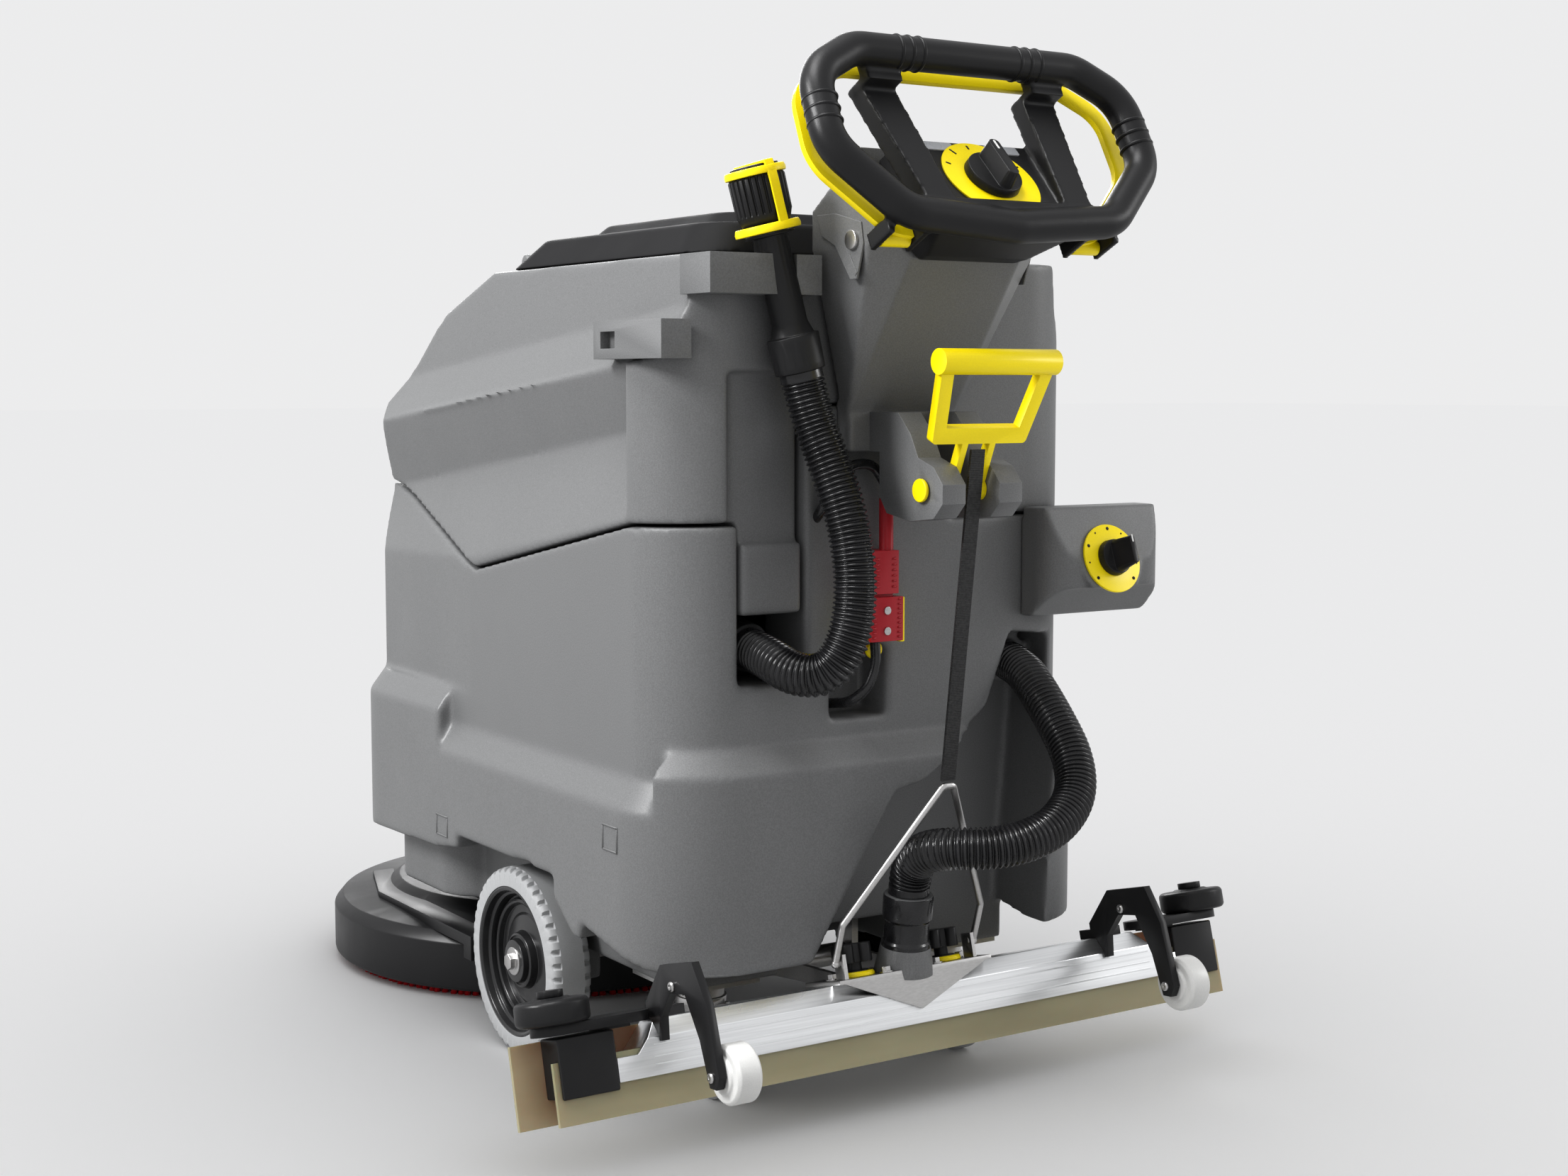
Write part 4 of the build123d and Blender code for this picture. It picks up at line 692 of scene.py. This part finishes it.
# ---------------------------------------------------------------- plain square frames moulded on the shell
frames = []
for side in (-1, 1):
    flank = plane_at((side * 268, 0, 0), (side, 0, 0), (0, 1, 0))
    for y, z, half_y, half_z in ((62, 222, 14, 11), (-328, 276, 14, 12)):
        cx, cy = on_flank(flank, [(y, z)])[0]
        for dx, dy, hx, hy in (
            (0, half_z, half_y + 1, 0.9), (0, -half_z, half_y + 1, 0.9),
            (half_y, 0, 0.9, half_z), (-half_y, 0, 0.9, half_z),
        ):
            outline = rounded(hx, hy, 0.8, 2, (cx + dx, cy + dy))
            frames.append(prism("frame", outline, -0.6, 0.7, flank, "chassis", "shell", 0))
joined("moulded_frames", frames)

# ---------------------------------------------------------------- drain cap
DRAIN_FOOT, DRAIN_TOP = Vector((-124, -442, 722)), Vector((-168, -428, 914))
DRAIN_WAY = (DRAIN_TOP - DRAIN_FOOT).normalized()
DRAIN = plane_at(DRAIN_FOOT, DRAIN_WAY)
CAP = [
    (0.5, 139), (22, 139), (23.5, 142), (25.6, 148), (26.4, 150), (26.8, 182), (25.6, 184), (24, 186), (22.6, 193.5),
    (21, 194), (0.5, 194),
]
GRIPS = 26
vertices, faces = turned([(r * MM, h * MM) for r, h in CAP], GRIPS * 6, DRAIN)
axis = DRAIN.col[2].to_3d()
for step in range(GRIPS * 6):
    if step % 6 < 2:
        for k in (4, 5):
            point = vertices[step * len(CAP) + k]
            along = DRAIN.translation + axis * (point - DRAIN.translation).dot(axis)
            vertices[step * len(CAP) + k] = along + (point - along) * 0.93
cap = new_piece("drain_cap_grip", vertices, faces, "drain_cap", "black_plastic")
tidy_normals(cap)
soft_edges(cap, 0.4, 35)
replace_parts(cap, "drain_cap")
UPRIGHT = Matrix(((1, 0, 0, 0), (0, 0, 1, 0), (0, 1, 0, 0), (0, 0, 0, 1)))  # swaps a plane's Y and Z
LOW_RING = [(26, 131.6), (31, 131.6), (31.4, 135), (30, 139.5), (26, 139.5)]
HIGH_RING = [(24.5, 184.5), (28.8, 184.5), (29, 188), (28, 191.5), (24.5, 191.5)]
STRIP = [
    (27.2, 134), (30.2, 134), (29.6, 150), (29.4, 176), (28.6, 188), (26.4, 196.5), (24, 196.5), (25.6, 188),
    (27.2, 176), (27.4, 150),
]
BRIDGE = [(-27, 193.5), (-24.5, 196.5), (24.5, 196.5), (27, 193.5)]
holder = [
    lathe("low_ring", LOW_RING, DRAIN, "drain_cap", "yellow", 72, 0.8),
    lathe("high_ring", HIGH_RING, DRAIN, "drain_cap", "yellow", 72, 0.8),
]
for degrees in (-90, 90):
    side = DRAIN @ Matrix.Rotation(math.radians(degrees), 4, "Z")
    holder.append(prism("strip", STRIP, -5, 5, side @ UPRIGHT, "drain_cap", "yellow", 0.8))
across = DRAIN @ Matrix.Rotation(math.pi / 2, 4, "Z") @ UPRIGHT
holder.append(prism("bridge", BRIDGE, -5, 5, across, "drain_cap", "yellow", 0.8))
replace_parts(joined("drain_cap_holder", holder), "cap_strap")

# ---------------------------------------------------------------- battery connector
REAR = -414.0
back = plane_at((-23, REAR - 28, 484), (0, -1, 0))
joined("connector_screws", [
    prism("screw", ring(4, 16, (0, z)), -1, 1.4, back, "chassis", "steel", 0.3) for z in (-12, 8)
])
ribs = []
for k in range(9):
    for x in (-15, 15):
        ribs.append(prism("rib", rounded(2, 1.0, 0.6, 2, (x, -18 + 4.6 * k)), -1, 0.9, back, "chassis", "red", 0))
upper = plane_at((-23, REAR - 26, 529), (0, -1, 0))
for k in range(6):
    for x in (-10, 10):
        ribs.append(prism("rib", rounded(2.4, 1.0, 0.6, 2, (x, -14 + 5.4 * k)), -1, 0.9, upper, "chassis", "red", 0))
joined("connector_ribs", ribs)

# ---------------------------------------------------------------- squeegee details, drawn lowered
PIVOT_Y, PIVOT_Z, SWING = -250.0, 100.0, 15.0
PIVOT = Matrix.Translation(here((0, PIVOT_Y, PIVOT_Z)))
PARK = PIVOT @ Matrix.Rotation(math.radians(-SWING), 4, "X") @ PIVOT.inverted()
BAR_TOP = 80.0
SPIGOT = plane_at((0, -441, 133), (0, -0.09, 1))
lathe("spigot_cuff", [
    (16.5, 24), (24.4, 24), (24.6, 30), (22.6, 33), (22.2, 52), (24.6, 54.5), (25, 60), (25, 76), (24.2, 78.2),
    (16.5, 78.2),
], SPIGOT, "squeegee", "hose", 64, 0.8)
WASHER = [(13.2, 0.2), (19, 0.2), (19, 3), (17.5, 5), (13.2, 5)]
DISC = [(0.4, 0), (7, 0), (7, 1.4), (0.4, 1.4)]
SCREW_HEAD = [(0.4, -1), (4.6, -1), (4.6, 2), (3.6, 3), (0.4, 3.2)]
washers, bolts = [], []
for x in (-53, 53):
    plate = PARK @ plane_at((x, -436, BAR_TOP + 4), (0, 0, 1))
    washers.append(lathe("washer", WASHER, plate, "squeegee", "yellow", 40, 0.5))
joined("knob_flanges", washers)
for x, y in ((-78, -432), (78, -432), (-30, -456), (30, -456)):
    plate = PARK @ plane_at((x, y, BAR_TOP + 4), (0, 0, 1))
    bolts.append(lathe("disc", DISC, plate, "squeegee", "steel", 32, 0.3))
    bolts.append(prism("nut", ring(5, 6), 1, 6, plate, "squeegee", "steel", 0.5))
joined("yoke_bolts", bolts)
lines = []
for z in (40, 47, 58):
    lines.append(prism(
        "line", [(-300, -0.7), (300, -0.7), (300, 0.7), (-300, 0.7)], -0.5, 0.5,
        PARK @ plane_at((0, -463, z), (0, -1, 0)), "squeegee", "aluminium", 0.2,
    ))
joined("bar_lines", lines)
heads = []
for x in (-285, 249):
    for y, z in ((-500, 108), (-549, 27)):
        plane = PARK @ plane_at((x - 8, y, z), (-1, 0, 0), (0, 1, 0))
        heads.append(lathe("head", SCREW_HEAD, plane, "squeegee", "steel", 24, 0))
joined("bracket_screws", heads)

# ---------------------------------------------------------------- floor
floor_mesh = bpy.data.meshes.new("floor")
SPAN = 60.0
floor_mesh.from_pydata([(-SPAN, -SPAN, 0), (SPAN, -SPAN, 0), (SPAN, SPAN, 0), (-SPAN, SPAN, 0)], [], [(0, 1, 2, 3)])
floor = bpy.data.objects.new("floor", floor_mesh)
floor_mesh.materials.append(plastic("floor", (0.985, 0.986, 0.988), 0.9, 0, 0, speckle=0.001, specular=0.0))
scene.collection.objects.link(floor)
unlit.objects.link(floor)
unlit.collection_objects[0].light_linking.link_state = "EXCLUDE"
